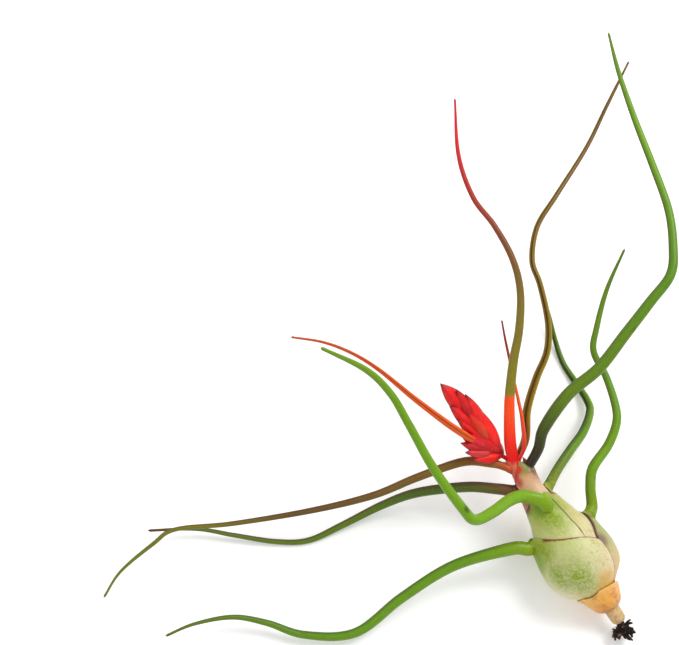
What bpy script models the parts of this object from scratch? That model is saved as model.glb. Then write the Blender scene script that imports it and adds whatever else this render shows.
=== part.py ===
"""A bulbosa air plant lying on its side, with its flower spike out.

The frame is +Z up, +X to the right and +Y away, as seen from the front of the plant.
The origin is the small flat spot under the bulb. Lengths are in millimetres until a mesh is made.
"""
import math
import random

import bmesh
import bpy
import numpy as np
from mathutils import Matrix, Vector

MM = 0.001

# Bulb axis and outline
BULB_BASE = Vector((9.9, -14.25, 7.8))
BULB_HEADING = 124.8          # degrees from +X towards +Y
BULB_TILT = 15.0              # degrees that the crown end is raised
SHOWN_SIDE = Vector((0.0, -0.407, 0.914))   # the side of the bulb that has angle 0
# Radius of the bulb at distances along its axis from the base
BULB_OUTLINE = [(0.0, 3.5), (1.2, 4.7), (2.4, 5.3), (4.0, 6.0), (6.5, 7.2), (8.4, 9.0), (10.5, 11.0),
                (12.3, 11.9), (14.7, 12.4), (19.0, 12.8),
                (26.7, 11.5), (33.4, 9.0), (37.0, 7.6), (41.7, 6.3), (45.7, 5.4), (50.5, 4.6), (56.5, 3.8),
                (62.0, 3.4)]
FLAT_SPOT_DEPTH = 0.0         # the height at which everything that touches the floor is flat

# Nested sheaths
WALL = 0.6                    # thickness of a sheath
MARGIN_WALL = 0.4             # thickness at a sheath's free margin
LAYER_PITCH = 0.9             # a wall and the gap under it
MARGIN_CLEAR = 1.5            # an inner sheath stays down this far beyond an outer one's margin
MARGIN_RISE = 6.5             # and comes up to the surface over this length
SCALE_LIFT = 0.3              # how far the papery basal scale stands off
SHEATH_SLOPE = 1.6            # how steeply a sheath leaves the stem
ROW_STEP = 4.0                # distance between the levels at which every sheath has a row
MARGIN_TURN = 22.0            # degrees that a margin may turn from one row of its shoulder to the next
GAP = 0.3

# Stem through the bulb, and its stub below
STEM_OUTLINE = [(-5.1, 1.7), (-4.4, 2.3), (-2.0, 2.5), (0.0, 2.5), (3.0, 2.7), (9.0, 3.0), (14.0, 2.8), (20.0, 2.5),
                (30.0, 1.9), (42.0, 1.3)]
STEM_SIDES = 12

# Leaf mesh
BLADE_COLUMNS = 4             # columns of a blade from its midrib to one margin
ROLL_STEP = 40.0              # degrees between them in the rolled blade
BLADE_RINGS = 28
BEND_LENGTH = 14.0            # a turn of one radian gets as many sections as this length
LIFT_SPREAD = 0.9             # how far to each side a blade's swelling reaches, as a part of its width
BLADE_START = 1.4             # from the armpit to the middle of a blade's first section
GROOVE_DEPTH = 0.45           # part of the blade's radius that the groove leaves
ROUND = [(0.0, 1.0), (1.0, 1.0)]   # a blade as thick as it is wide, all the way

# Roots: a dark knot of cut ends below the stem's stub
KNOT_CENTRE = Vector((13.6, -20.6, 4.6))
KNOT_RADIUS = 2.6
ROOT_COUNT = 15
ROOT_LENGTH = (3.4, 5.0)
ROOT_RADIUS = (0.45, 0.8)
ROOT_SUNK = 0.3               # part of the knot's radius at which a root starts
ROOT_BACK = -0.35             # roots don't grow further back than this towards the stem
ROOT_SIDES = 6
ROOT_FACING = Vector((0.3, 0.2, 0.93))
ROOT_SEED = 7

# Each material's base colour and roughness
TINTS = {
    "pale_green": ((0.36, 0.45, 0.14), 0.55),
    "bright_green": ((0.22, 0.40, 0.03), 0.5),
    "deep_green": ((0.10, 0.24, 0.02), 0.5),
    "olive": ((0.16, 0.20, 0.03), 0.5),
    "bronze": ((0.16, 0.11, 0.04), 0.5),
    "russet": ((0.30, 0.10, 0.02), 0.45),
    "orange": ((0.60, 0.14, 0.01), 0.45),
    "amber": ((0.55, 0.30, 0.08), 0.5),
    "red": ((0.70, 0.01, 0.02), 0.4),
    "tan": ((0.45, 0.34, 0.20), 0.8),
    "black": ((0.02, 0.015, 0.012), 0.9),
}


def between(pairs, x):
    """Value at x on a smooth curve through (x, value) pairs."""
    if x <= pairs[0][0]:
        return pairs[0][1]
    if x >= pairs[-1][0]:
        return pairs[-1][1]
    k = max(i for i in range(len(pairs) - 1) if pairs[i][0] <= x)
    (x0, y0), (x1, y1) = pairs[k], pairs[k + 1]
    slope = (y1 - y0) / (x1 - x0)
    before = slope if k == 0 else (y1 - pairs[k - 1][1]) / (x1 - pairs[k - 1][0])
    after = slope if k + 2 == len(pairs) else (pairs[k + 2][1] - y0) / (pairs[k + 2][0] - x0)
    t = (x - x0) / (x1 - x0)
    width = x1 - x0
    return (y0 * (2 * t ** 3 - 3 * t ** 2 + 1) + y1 * (3 * t ** 2 - 2 * t ** 3)
            + width * before * (t ** 3 - 2 * t ** 2 + t) + width * after * (t ** 3 - t ** 2))


def ease(t):
    """Smooth step from 0 to 1."""
    t = min(1.0, max(0.0, t))
    return t * t * (3 - 2 * t)


def bulb_frame():
    heading, tilt = math.radians(BULB_HEADING), math.radians(BULB_TILT)
    axis = Vector((math.cos(tilt) * math.cos(heading), math.cos(tilt) * math.sin(heading), math.sin(tilt)))
    front = (SHOWN_SIDE - SHOWN_SIDE.dot(axis) * axis).normalized()
    return axis, front, axis.cross(front)


AXIS, FRONT, RIGHT = bulb_frame()


def radial(angle):
    """Direction out from the bulb's axis at an angle in degrees, 0 in front and 90 on the right."""
    a = math.radians(angle)
    return math.cos(a) * FRONT + math.sin(a) * RIGHT


def bulb_point(along, angle, radius):
    return BULB_BASE + along * AXIS + radius * radial(angle)


# Everything that grows from the stem, outermost first. For each one:
#   tint        its main colour in TINTS
#   side        angle of its blade round the bulb
#   root        where its sheath leaves the stem, along the axis
#   armpit      where the blade's underside leaves the bulb, along the axis
#   lean        degrees between the blade's start and the bulb's axis
#   columns     columns of the sheath from its midrib to one margin
#   slack       part of a layer that the sheath stays in from the rest
#   margins     (along the axis, degrees to the left margin, degrees to the right margin), root to blade
#   lift        how far the sheath swells off the bulb under the blade, and over what length
#   widths      (part of the blade's length, its width)
#   depths      (part of the blade's length, its thickness as a part of its width)
#   route       points that the middle of the blade passes through
LEAVES = [
    dict(name="basal_scale", tint="amber",
         side=-25, root=0.2, armpit=7.6, columns=8,
         margins=[(0.2, 168, 168), (2.0, 168, 168), (5.0, 160, 150), (6.6, 112, 96), (7.8, 62, 50),
                  (8.4, 22, 20)]),
    dict(name="leaf_low_left", tint="pale_green",
         side=-80, root=2.0, armpit=27.8, lean=66, columns=8,
         lift=(0.4, 6.0),
         margins=[(2.0, 128, 124), (21.0, 128, 127), (23.5, 118, 118), (26.0, 100, 100), (28.6, 72, 72),
                  (31.0, 42, 42), (32.4, 15, 15)],
         widths=[(0.0, 4.9), (0.05, 4.3), (0.15, 3.7), (0.45, 3.2), (0.65, 2.5), (0.85, 1.5), (0.97, 0.9)],
         depths=ROUND,
         route=[(-22.8, 3.2, 15.3), (-41, -1.5, 11.5), (-57.5, -11, 8), (-72.5, -21.5, 4.5),
                (-89, -22, 3.5), (-101, -18.5, 5), (-112, -17, 7), (-124, -19.5, 9), (-133, -23.5, 10)]),
    dict(name="leaf_far_right", tint="deep_green",
         side=100, root=4.0, armpit=25.8, lean=40, columns=8,
         lift=(0.5, 5.0),
         margins=[(4.0, 60, 120), (18.0, 58, 120), (22.0, 51, 110), (24.5, 41, 92), (27.5, 26, 66),
                  (29.5, 18, 36), (30.8, 12, 14)],
         widths=[(0.0, 4.2), (0.06, 3.5), (0.2, 3.3), (0.45, 2.6), (0.7, 2.0), (0.85, 1.5), (0.97, 0.9)],
         depths=ROUND,
         route=[(5, 17.5, 15.5), (4.5, 23, 18), (5.5, 29, 19.8), (11, 36.5, 21), (14, 43.5, 22.5),
                (14, 49.5, 23.5), (11.5, 59, 25), (7.8, 67.5, 26.5), (9, 75, 28.5), (13, 88, 32),
                (19, 100.5, 38)]),
    dict(name="leaf_front", tint="bright_green",
         side=6, root=6.0, armpit=36.8, lean=50, columns=8,
         lift=(0.6, 5.5),
         margins=[(6.0, 124, 100), (30.0, 118, 102), (34.0, 108, 95), (37.8, 92, 80), (40.6, 72, 62),
                  (42.4, 42, 36), (43.4, 17, 17)],
         widths=[(0.0, 4.9), (0.06, 4.2), (0.2, 3.7), (0.4, 3.0), (0.6, 2.6), (0.8, 2.1), (0.97, 1.1)],
         depths=ROUND,
         route=[(-13.6, 15.6, 28.2), (-17.4, 16.6, 28.9), (-21, 16.4, 30.3), (-25.2, 14, 33), (-30.5, 9.5, 37.5),
                (-36.5, 6, 41.5), (-40.5, 8.5, 45), (-49.5, 19, 52), (-57, 30, 60), (-62.5, 37.5, 66),
                (-70, 42, 74), (-83, 43.5, 87)]),
    dict(name="leaf_back_floor", tint="bright_green",
         side=128, root=7.8, armpit=40.4, lean=58, columns=4,
         lift=(0.5, 4.0),
         margins=[(7.8, 62, 62), (38.0, 56, 56), (42.0, 45, 45), (44.5, 20, 20)],
         widths=[(0.0, 3.6), (0.06, 3.3), (0.3, 3.1), (0.55, 2.5), (0.75, 1.9), (0.9, 1.3), (0.97, 0.9)],
         depths=ROUND,
         route=[(-4.5, 31, 13.2), (0.5, 38, 11), (6, 45.5, 8), (9.5, 53.5, 5), (9.3, 58.5, 3.3),
                (6.5, 65.5, 1.4), (2.5, 73.5, 0.85), (0, 81.5, 2.6), (-2.5, 90.5, 7), (-5.5, 97, 12)]),
    dict(name="leaf_left_floor", tint="olive",
         side=-108, root=9.4, armpit=45.6, lean=50, columns=4,
         lift=(0.5, 4.0),
         margins=[(9.4, 70, 70), (41.0, 66, 66), (45.5, 54, 54), (48.0, 36, 36), (49.4, 22, 22)],
         widths=[(0.0, 3.9), (0.06, 3.6), (0.25, 3.2), (0.45, 2.4), (0.6, 1.9), (0.8, 1.5), (0.97, 0.9)],
         depths=ROUND,
         route=[(-26.5, 22.7, 17), (-36, 24, 14.5), (-51.5, 23.5, 9.5), (-63, 20.5, 5.2),
                (-76.5, 14.5, 1.9), (-88, 9.5, 0.75), (-99, 9, 1), (-113, 10.8, 2.5), (-125.5, 12.5, 4),
                (-141.5, 11.5, 6)]),
    dict(name="leaf_tall_right", tint="deep_green",
         side=62, root=10.8, armpit=50.6, lean=24, columns=8,
         lift=(0.6, 3.5),
         margins=[(10.8, 158, 100), (46.0, 156, 100), (50.0, 140, 96), (52.0, 106, 84), (54.0, 66, 58),
                  (55.6, 36, 34)],
         widths=[(0.0, 4.3), (0.04, 4.1), (0.15, 4.0), (0.35, 3.5), (0.55, 2.8), (0.75, 2.3), (0.9, 1.6),
                 (0.98, 0.9)],
         depths=[(0.0, 0.7), (0.05, 0.85), (0.12, 1.0), (1.0, 1.0)],
         route=[(-13.2, 33.3, 26.8), (-11.5, 39, 31), (-4, 48.5, 36.5), (5.5, 55.5, 41.5), (14, 65.5, 46),
                (22, 75, 50), (28.5, 83, 53), (30, 92, 54.7), (29.5, 105, 56.5), (25.5, 121, 58.5),
                (21, 137, 60.5), (17, 155, 62), (15, 172, 62)]),
    dict(name="leaf_long_left", tint="bronze",
         side=-76, root=12.0, armpit=52.6, lean=30, columns=8,
         margins=[(12.0, 84, 96), (53.4, 84, 98), (55.8, 70, 88), (57.0, 40, 50), (57.8, 24, 24)],
         widths=[(0.0, 3.4), (0.06, 3.1), (0.2, 2.7), (0.45, 2.0), (0.65, 1.6), (0.85, 1.3), (0.97, 0.8)],
         depths=[(0.0, 0.7), (0.08, 1.0), (1.0, 1.0)],
         route=[(-23.9, 28.5, 22.4), (-28.2, 29.2, 24), (-37.5, 29.5, 24.8), (-52.5, 24.5, 24), (-67, 19, 22),
                (-87, 14.7, 19.5), (-112.5, 11.2, 16.5), (-131, 9.8, 14.5), (-138.5, 5.5, 12),
                (-149, -2.5, 8), (-154.5, -10.5, 5)]),
    dict(name="leaf_tall_back", tint="olive",
         side=150, root=13.5, armpit=54.0, lean=8, columns=4,
         margins=[(13.5, 34, 34), (50.0, 34, 34), (54.0, 32, 32)],
         widths=[(0.0, 2.6), (0.08, 2.9), (0.3, 2.2), (0.55, 1.8), (0.75, 1.5), (0.9, 1.2), (0.97, 0.8)],
         depths=[(0.0, 0.45), (0.12, 0.9), (0.2, 1.0), (1.0, 1.0)],
         route=[(-16.5, 38, 22.5), (-16, 46.5, 26.5), (-13, 56, 31), (-9.5, 64, 34.7), (-9, 73, 38),
                (-11.5, 84.5, 42.5), (-14, 92.5, 45), (-12, 103.5, 48), (-5, 114.5, 50), (6.5, 133, 50),
                (15, 150, 49.5), (25.5, 171, 47)]),
    dict(name="leaf_red_tipped", tint="russet",
         side=8, root=13.5, armpit=55.0, lean=-3, columns=4,
         margins=[(13.5, 46, 46), (51.0, 46, 46), (55.0, 44, 44)],
         widths=[(0.0, 3.9), (0.05, 4.0), (0.18, 3.3), (0.4, 2.5), (0.6, 1.9), (0.8, 1.5), (0.97, 0.8)],
         depths=[(0.0, 0.32), (0.12, 0.6), (0.25, 0.95), (1.0, 1.0)],
         route=[(-22.4, 35, 28.0), (-23, 43, 34), (-23, 48.5, 38), (-22, 57.5, 43), (-20.3, 66.5, 48),
                (-20, 77.5, 53), (-22.5, 87, 57), (-28, 97.5, 59.5), (-34.5, 107.5, 60.5),
                (-38.5, 123.5, 60.5), (-38.5, 147.5, 58)]),
    dict(name="bract_orange", tint="orange",
         side=86, root=15.0, armpit=54.0, lean=4, columns=4, slack=0.3,
         margins=[(15.0, 22, 22), (50.0, 22, 22), (54.0, 20, 20)],
         widths=[(0.0, 2.2), (0.15, 2.5), (0.35, 1.9), (0.55, 1.4), (0.8, 1.1), (0.97, 0.7)],
         depths=[(0.0, 0.5), (0.3, 0.6), (1.0, 0.9)],
         route=[(-17.5, 35, 25.4), (-18.3, 42.4, 29.6), (-19.4, 47.5, 32), (-21.5, 57.5, 35),
                (-23.5, 66.5, 38.5), (-24.5, 73, 40)]),
]

# These stand side by side round the flower stalk, so none presses on another
INNERMOST = ("leaf_tall_back", "leaf_red_tipped", "bract_orange")

# The bract under the side spikes, a narrow blade that starts on them
LONG_BRACT = dict(
    name="bract_long", tint="orange",
    widths=[(0.0, 1.6), (0.06, 2.3), (0.3, 2.0), (0.6, 1.3), (0.85, 0.9), (0.97, 0.7)],
    depths=[(0.0, 0.5), (0.3, 0.7), (1.0, 0.9)],
    route=[(-35.0, 33.1, 36.0), (-36.9, 33.6, 37.4), (-43.5, 36.6, 41.4), (-54, 42.8, 47), (-65, 50.4, 52),
           (-73.5, 54.5, 56), (-82.5, 57, 59), (-92.5, 57.5, 62)])

# The flower head: the stalk's points, and bracts as (root, tip, width, depth)
STALK = [(-13.6, 19.5, 18.9), (-21.6, 29.9, 22.2), (-25.6, 32.5, 23.6), (-28.6, 34.4, 27.6),
         (-33, 38.5, 33), (-38, 43, 39)]
SIDE_STALK = [(-27.6, 33.4, 26.2), (-32.5, 32.2, 30.4)]
BRACTS = [
    ((-36, 41.5, 37), (-46, 48.5, 46), 6.0, 3.4),
    ((-31.5, 37, 32.5), (-43, 42.5, 41.8), 5.6, 3.2),
    ((-35, 39.6, 36.4), (-41, 47, 45), 4.4, 3.0),
    ((-31, 36.6, 32), (-38, 45.9, 43.6), 5.2, 3.4),
    ((-26.2, 32.5, 27), (-35.6, 43.8, 40.6), 5.6, 3.8),
    ((-29.5, 34.6, 30), (-37.5, 41.5, 40.6), 5.6, 4.0),
    ((-28.6, 33.2, 28.6), (-40.6, 39.2, 39.2), 5.0, 3.4),
    ((-25.2, 32.4, 26.2), (-36.5, 35, 35), 6.0, 4.0),
    ((-30, 32.6, 29.8), (-39.6, 34.8, 37.4), 4.4, 3.0),
    ((-29.6, 31.8, 29.2), (-39.4, 32.2, 36), 3.6, 2.6),
    ((-28.6, 31.4, 28.4), (-37.8, 29.8, 33.6), 3.8, 2.6),
    ((-25.2, 31.4, 26.0), (-35.6, 28.4, 30.6), 4.4, 2.6),
    ((-24.7, 32.1, 24.6), (-31.5, 36.2, 31.8), 4.6, 3.8),
]
STALK_RADIUS = 0.72
BRACT_SIDES = 8
BRACT_BULGE = [(0.0, 0.42), (0.18, 0.82), (0.4, 1.0), (0.65, 0.8), (0.85, 0.42)]
STALK_BULGE = [(0.0, 1.0), (0.85, 1.0)]
ROOT_BULGE = [(0.0, 1.0), (0.8, 0.7)]


def half_angles(leaf, along):
    """Degrees to the left and right margins at a distance along the axis, below 0 above the sheath."""
    rows = leaf["margins"]
    if along > rows[-1][0]:
        (a0, l0, r0), (a1, l1, r1) = rows[-2], rows[-1]
        k = (along - a1) / (a1 - a0)
        return l1 + k * (l1 - l0 - 2.0), r1 + k * (r1 - r0 - 2.0)
    return [between([(row[0], row[side]) for row in rows], along) for side in (1, 2)]


def turned(angle, side):
    """Signed degrees from a leaf's side to an angle round the bulb."""
    return (angle - side + 180.0) % 360.0 - 180.0


def cover(leaf, along, angle):
    """How far a leaf's sheath presses down what lies under it: 1 under it, 0 well clear of it."""
    if along < leaf["root"] - 2.0:
        return 0.0
    off = turned(angle, leaf["side"])
    hand = 1 if off > 0 else 0
    radius = between(BULB_OUTLINE, along)
    beyond = math.radians(abs(off) - half_angles(leaf, along)[hand]) * radius
    narrowing = half_angles(leaf, along - 0.5)[hand] - half_angles(leaf, along + 0.5)[hand]
    slant = math.hypot(1.0, math.radians(narrowing) * radius)
    return 1.0 - ease((beyond / slant - MARGIN_CLEAR) / MARGIN_RISE)


def sheath_radius(index, along, angle):
    """Outer radius of a leaf's sheath, under all the sheaths that wrap it."""
    leaf = LEAVES[index]
    innermost = leaf["name"] in INNERMOST
    pressed = leaf.get("slack", 0.0)
    pressed += sum(cover(outer, along, angle) for outer in LEAVES[:index]
                   if not (innermost and outer["name"] in INNERMOST))
    wrapped = between(BULB_OUTLINE, along) - LAYER_PITCH * pressed + (SCALE_LIFT if index == 0 else 0.0)
    stem = between(STEM_OUTLINE, leaf["root"]) + GAP + WALL
    radius = min(wrapped, stem + SHEATH_SLOPE * max(0.0, along - leaf["root"]))
    return radius + blade_lift(leaf, along, angle)


def blade_lift(leaf, along, angle):
    """How far a sheath swells off the bulb where its blade begins."""
    if "lift" not in leaf:
        return 0.0
    height, reach = leaf["lift"]
    near = min(1.0, max(0.0, 1.0 - (leaf["armpit"] - along) / reach))
    aside = math.radians(abs(turned(angle, leaf["side"]))) * between(BULB_OUTLINE, along)
    return height * near ** 2 * (1.0 - ease(aside / (LIFT_SPREAD * leaf["widths"][0][1])))


def smooth_path(points, steps):
    """Points along a smooth curve through the given ones, closer where it bends, and their parts of its length."""
    p = [Vector(q) for q in points]
    p = [2 * p[0] - p[1]] + p + [2 * p[-1] - p[-2]]
    fine = []
    for k in range(1, len(p) - 2):
        for step in range(12):
            t = step / 12
            fine.append(0.5 * (2 * p[k] + (p[k + 1] - p[k - 1]) * t
                               + (2 * p[k - 1] - 5 * p[k] + 4 * p[k + 1] - p[k + 2]) * t ** 2
                               + (3 * p[k] - p[k - 1] - 3 * p[k + 1] + p[k + 2]) * t ** 3))
    fine.append(p[-2])
    length, effort = [0.0], [0.0]
    for k, (a, b) in enumerate(zip(fine, fine[1:])):
        bend = (b - a).angle(a - fine[k - 1]) if k else 0.0
        length.append(length[-1] + (b - a).length)
        effort.append(effort[-1] + (b - a).length + BEND_LENGTH * bend)
    wanted = np.linspace(0.0, effort[-1], steps + 1)
    spaced = [np.interp(wanted, effort, [q[axis] for q in fine]) for axis in range(3)]
    parts = [float(part) / length[-1] for part in np.interp(wanted, effort, length)]
    return [Vector(q) for q in zip(*spaced)], parts


def carried_frames(path, underside):
    """Directions across a path, turned with it and never twisted: the underside and the right side."""
    frames = []
    down = underside
    for k, point in enumerate(path):
        ahead = (path[min(k + 1, len(path) - 1)] - path[max(k - 1, 0)]).normalized()
        down = (down - down.dot(ahead) * ahead).normalized()
        frames.append((down, ahead.cross(down)))
    return frames


def rolled_ring(mesh, centre, down, right, radius, depth):
    """One section of a rolled blade: a round underside and a groove along the top."""
    ring = []
    for column in range(-BLADE_COLUMNS, BLADE_COLUMNS + 1):
        roll = math.radians(ROLL_STEP * column)
        offset = depth * math.cos(roll) * down + radius * math.sin(roll) * right
        ring.append(mesh.verts.new(centre + offset))
    return ring, mesh.verts.new(centre - GROOVE_DEPTH * depth * down)


def row_levels(leaf):
    """Levels of a sheath's rows at its margins: the root, the shared levels, then the shoulder's own."""
    margins = leaf["margins"]
    root, shoulder = margins[0][0], margins[1][0]
    first, last = math.ceil((root + 1) / ROW_STEP), math.floor((shoulder - 1) / ROW_STEP)
    levels = [root] + [ROW_STEP * k for k in range(first, last + 1)]
    for (a0, left0, right0), (a1, left1, right1) in zip(margins[1:], margins[2:]):
        steps = math.ceil(max(left0 - left1, right0 - right1) / MARGIN_TURN)
        levels += [a0 + (a1 - a0) * k / steps for k in range(steps)]
    return levels + [margins[-1][0]]


def sheath_rows(mesh, index):
    """The outer and inner rows of a sheath, from its root to the blade's armpit."""
    leaf = LEAVES[index]
    top = leaf["margins"][-1][0]
    outer, inner = [], []
    for margin_along in row_levels(leaf):
        left, right = half_angles(leaf, margin_along)
        climbed = (margin_along - leaf["root"]) / (top - leaf["root"])
        mid_along = margin_along - (top - leaf["armpit"]) * climbed ** 4
        outer_row, inner_row = [], []
        for column in range(-leaf["columns"], leaf["columns"] + 1):
            part = column / leaf["columns"]
            angle = leaf["side"] + part * (left if column < 0 else right)
            along = mid_along + (margin_along - mid_along) * part ** 2
            radius = sheath_radius(index, along, angle)
            thinner = (WALL - MARGIN_WALL) * part ** 6
            outer_row.append(mesh.verts.new(bulb_point(along, angle, radius - thinner)))
            inner_row.append(mesh.verts.new(bulb_point(along, angle, radius - WALL)))
        outer.append(outer_row)
        inner.append(inner_row)
    return outer, inner


def blade_path(index):
    """Points on the middle of the blade, from just outside its armpit to the tip, and its first underside."""
    leaf = LEAVES[index]
    lean = math.radians(leaf["lean"])
    out = radial(leaf["side"])
    ahead = math.cos(lean) * AXIS + math.sin(lean) * out
    down = math.cos(lean) * out - math.sin(lean) * AXIS
    half_depth = leaf["widths"][0][1] / 2 * leaf["depths"][0][1]
    armpit = bulb_point(leaf["armpit"], leaf["side"], sheath_radius(index, leaf["armpit"], leaf["side"]))
    start = armpit - half_depth * down + BLADE_START * ahead
    return [start] + leaf["route"], down


def stitch(mesh, row_a, row_b):
    for k in range(len(row_a) - 1):
        mesh.faces.new((row_a[k], row_a[k + 1], row_b[k + 1], row_b[k]))


def stitch_to_half(mesh, row, half):
    """Join a row to one with half as many columns."""
    for k in range(len(half) - 1):
        left, middle, right = row[2 * k:2 * k + 3]
        mesh.faces.new((left, middle, half[k]))
        mesh.faces.new((middle, right, half[k + 1]))
        mesh.faces.new((middle, half[k + 1], half[k]))


def blade(mesh, points, down, leaf, start_row=None, start_inner=None):
    """A rolled blade through points, joined to the last row of a sheath, or capped where it starts."""
    path, parts = smooth_path(points, BLADE_RINGS)
    frames = carried_frames(path, down)
    previous, previous_groove = start_row, None
    for k in range(BLADE_RINGS):
        radius = between(leaf["widths"], parts[k]) / 2
        depth = radius * between(leaf["depths"], parts[k])
        ring, groove = rolled_ring(mesh, path[k], *frames[k], radius, depth)
        if previous is None:
            mesh.faces.new(ring + [groove])
        elif previous_groove is None:
            join = stitch if len(start_row) == len(ring) else stitch_to_half
            join(mesh, start_row, ring)
            for a, b in zip(start_inner, start_inner[1:]):
                mesh.faces.new((a, b, groove))
            mesh.faces.new((start_row[0], ring[0], groove, start_inner[0]))
            mesh.faces.new((start_inner[-1], groove, ring[-1], start_row[-1]))
        else:
            stitch(mesh, previous, ring)
            mesh.faces.new((previous[-1], previous_groove, groove, ring[-1]))
            mesh.faces.new((previous_groove, previous[0], ring[0], groove))
        previous, previous_groove = ring, groove
    tip = mesh.verts.new(path[-1])
    around = previous + [previous_groove]
    for a, b in zip(around, around[1:] + around[:1]):
        mesh.faces.new((a, b, tip))


def flatten_at_floor(mesh):
    """Cut off whatever dips under the floor, so that it rests on a small flat spot."""
    if min(v.co.z for v in mesh.verts) >= FLAT_SPOT_DEPTH:
        return
    geometry = mesh.verts[:] + mesh.edges[:] + mesh.faces[:]
    cut = bmesh.ops.bisect_plane(mesh, geom=geometry, plane_co=(0, 0, FLAT_SPOT_DEPTH), plane_no=(0, 0, -1),
                                 clear_outer=True)
    rim = [e for e in cut["geom_cut"] if isinstance(e, bmesh.types.BMEdge)]
    bmesh.ops.holes_fill(mesh, edges=rim)


def to_object(mesh, name, material, collection):
    """Turn a mesh in millimetres into an object in metres."""
    bmesh.ops.triangulate(mesh, faces=[f for f in mesh.faces if len(f.verts) == 4])
    bmesh.ops.recalc_face_normals(mesh, faces=mesh.faces)
    bmesh.ops.transform(mesh, matrix=Matrix.Scale(MM, 4), verts=mesh.verts)
    data = bpy.data.meshes.new(name)
    mesh.to_mesh(data)
    mesh.free()
    data.shade_smooth()
    data.set_sharp_from_angle(angle=math.radians(50))
    data.materials.append(material)
    piece = bpy.data.objects.new(name, data)
    collection.objects.link(piece)
    return piece


def plain_material(tint):
    colour, roughness = TINTS[tint]
    material = bpy.data.materials.new(tint)
    material.use_nodes = True
    shader = material.node_tree.nodes["Principled BSDF"]
    shader.inputs["Base Color"].default_value = (*colour, 1.0)
    shader.inputs["Roughness"].default_value = roughness
    shader.inputs["Metallic"].default_value = 0.0
    return material


def build_leaf(index, material, collection):
    mesh = bmesh.new()
    outer, inner = sheath_rows(mesh, index)
    for k in range(len(outer) - 1):
        stitch(mesh, outer[k], outer[k + 1])
        stitch(mesh, inner[k + 1], inner[k])
        mesh.faces.new((outer[k][-1], inner[k][-1], inner[k + 1][-1], outer[k + 1][-1]))
        mesh.faces.new((inner[k][0], outer[k][0], outer[k + 1][0], inner[k + 1][0]))
    stitch(mesh, inner[0], outer[0])
    if "route" in LEAVES[index]:
        points, down = blade_path(index)
        blade(mesh, points, down, LEAVES[index], outer[-1], inner[-1])
    else:
        stitch(mesh, outer[-1], inner[-1])
    flatten_at_floor(mesh)
    return to_object(mesh, LEAVES[index]["name"], material, collection)


def build_long_bract(material, collection):
    mesh = bmesh.new()
    blade(mesh, LONG_BRACT["route"], -SHOWN_SIDE, LONG_BRACT)
    return to_object(mesh, LONG_BRACT["name"], material, collection)


def build_stem(material, collection):
    """The short stem that carries every sheath, turned about the bulb's axis."""
    mesh = bmesh.new()
    rings = []
    turns = [360.0 * k / STEM_SIDES for k in range(STEM_SIDES)]
    for along, radius in STEM_OUTLINE:
        rings.append([mesh.verts.new(bulb_point(along, turn, radius)) for turn in turns])
    for ring in rings:
        ring.append(ring[0])
    for low, high in zip(rings, rings[1:]):
        stitch(mesh, low, high)
    mesh.faces.new(rings[0][:-1])
    mesh.faces.new(rings[-1][:-1])
    return to_object(mesh, "stem", material, collection)


def spindle(mesh, root, tip, widest, depth, sides, bulge, facing):
    """A closed pointed form from root to tip, widest part of the way along, flattened across facing."""
    ahead = (tip - root).normalized()
    out = (facing - facing.dot(ahead) * ahead).normalized()
    across = ahead.cross(out)
    previous = None
    for part, share in bulge:
        centre = root.lerp(tip, part)
        ring = []
        for k in range(sides):
            turn = 2 * math.pi * k / sides
            ring.append(mesh.verts.new(centre + share * (widest / 2 * math.cos(turn) * across
                                                         + depth / 2 * math.sin(turn) * out)))
        ring.append(ring[0])
        if previous is None:
            mesh.faces.new(ring[:-1])
        else:
            stitch(mesh, previous, ring)
        previous = ring
    point = mesh.verts.new(tip)
    for a, b in zip(previous, previous[1:]):
        mesh.faces.new((a, b, point))


def fused(name, forms, material, collection):
    """One solid from several closed forms."""
    pile = bpy.data.collections.new(name + "_forms")
    bpy.context.scene.collection.children.link(pile)
    pieces = [to_object(form, name + "_form", material, pile) for form in forms]
    first = pieces[0]
    union = first.modifiers.new("union", "BOOLEAN")
    union.operation = "UNION"
    union.operand_type = "COLLECTION"
    union.collection = bpy.data.collections.new(name + "_rest")
    bpy.context.scene.collection.children.link(union.collection)
    for piece in pieces[1:]:
        pile.objects.unlink(piece)
        union.collection.objects.link(piece)
    data = bpy.data.meshes.new_from_object(first.evaluated_get(bpy.context.evaluated_depsgraph_get()))
    rest = union.collection
    for piece in pieces:
        bpy.data.objects.remove(piece, do_unlink=True)
    bpy.data.collections.remove(rest)
    bpy.data.collections.remove(pile)
    data.name = name
    solid = bpy.data.objects.new(name, data)
    collection.objects.link(solid)
    return solid


def build_flower_head(material, collection):
    """The stalk and the spikes of pointed, overlapping bracts, grown together."""
    forms = []
    for root, tip, width, depth in BRACTS:
        mesh = bmesh.new()
        spindle(mesh, Vector(root), Vector(tip), width, depth, BRACT_SIDES, BRACT_BULGE, SHOWN_SIDE)
        forms.append(mesh)
    for start, end in list(zip(STALK, STALK[1:])) + [SIDE_STALK]:
        mesh = bmesh.new()
        a, b = Vector(start), Vector(end)
        point = b + (b - a).normalized() * STALK_RADIUS
        spindle(mesh, a, point, 2 * STALK_RADIUS, 2 * STALK_RADIUS, BRACT_SIDES, STALK_BULGE, SHOWN_SIDE)
        forms.append(mesh)
    return fused("flower_head", forms, material, collection)


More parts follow.
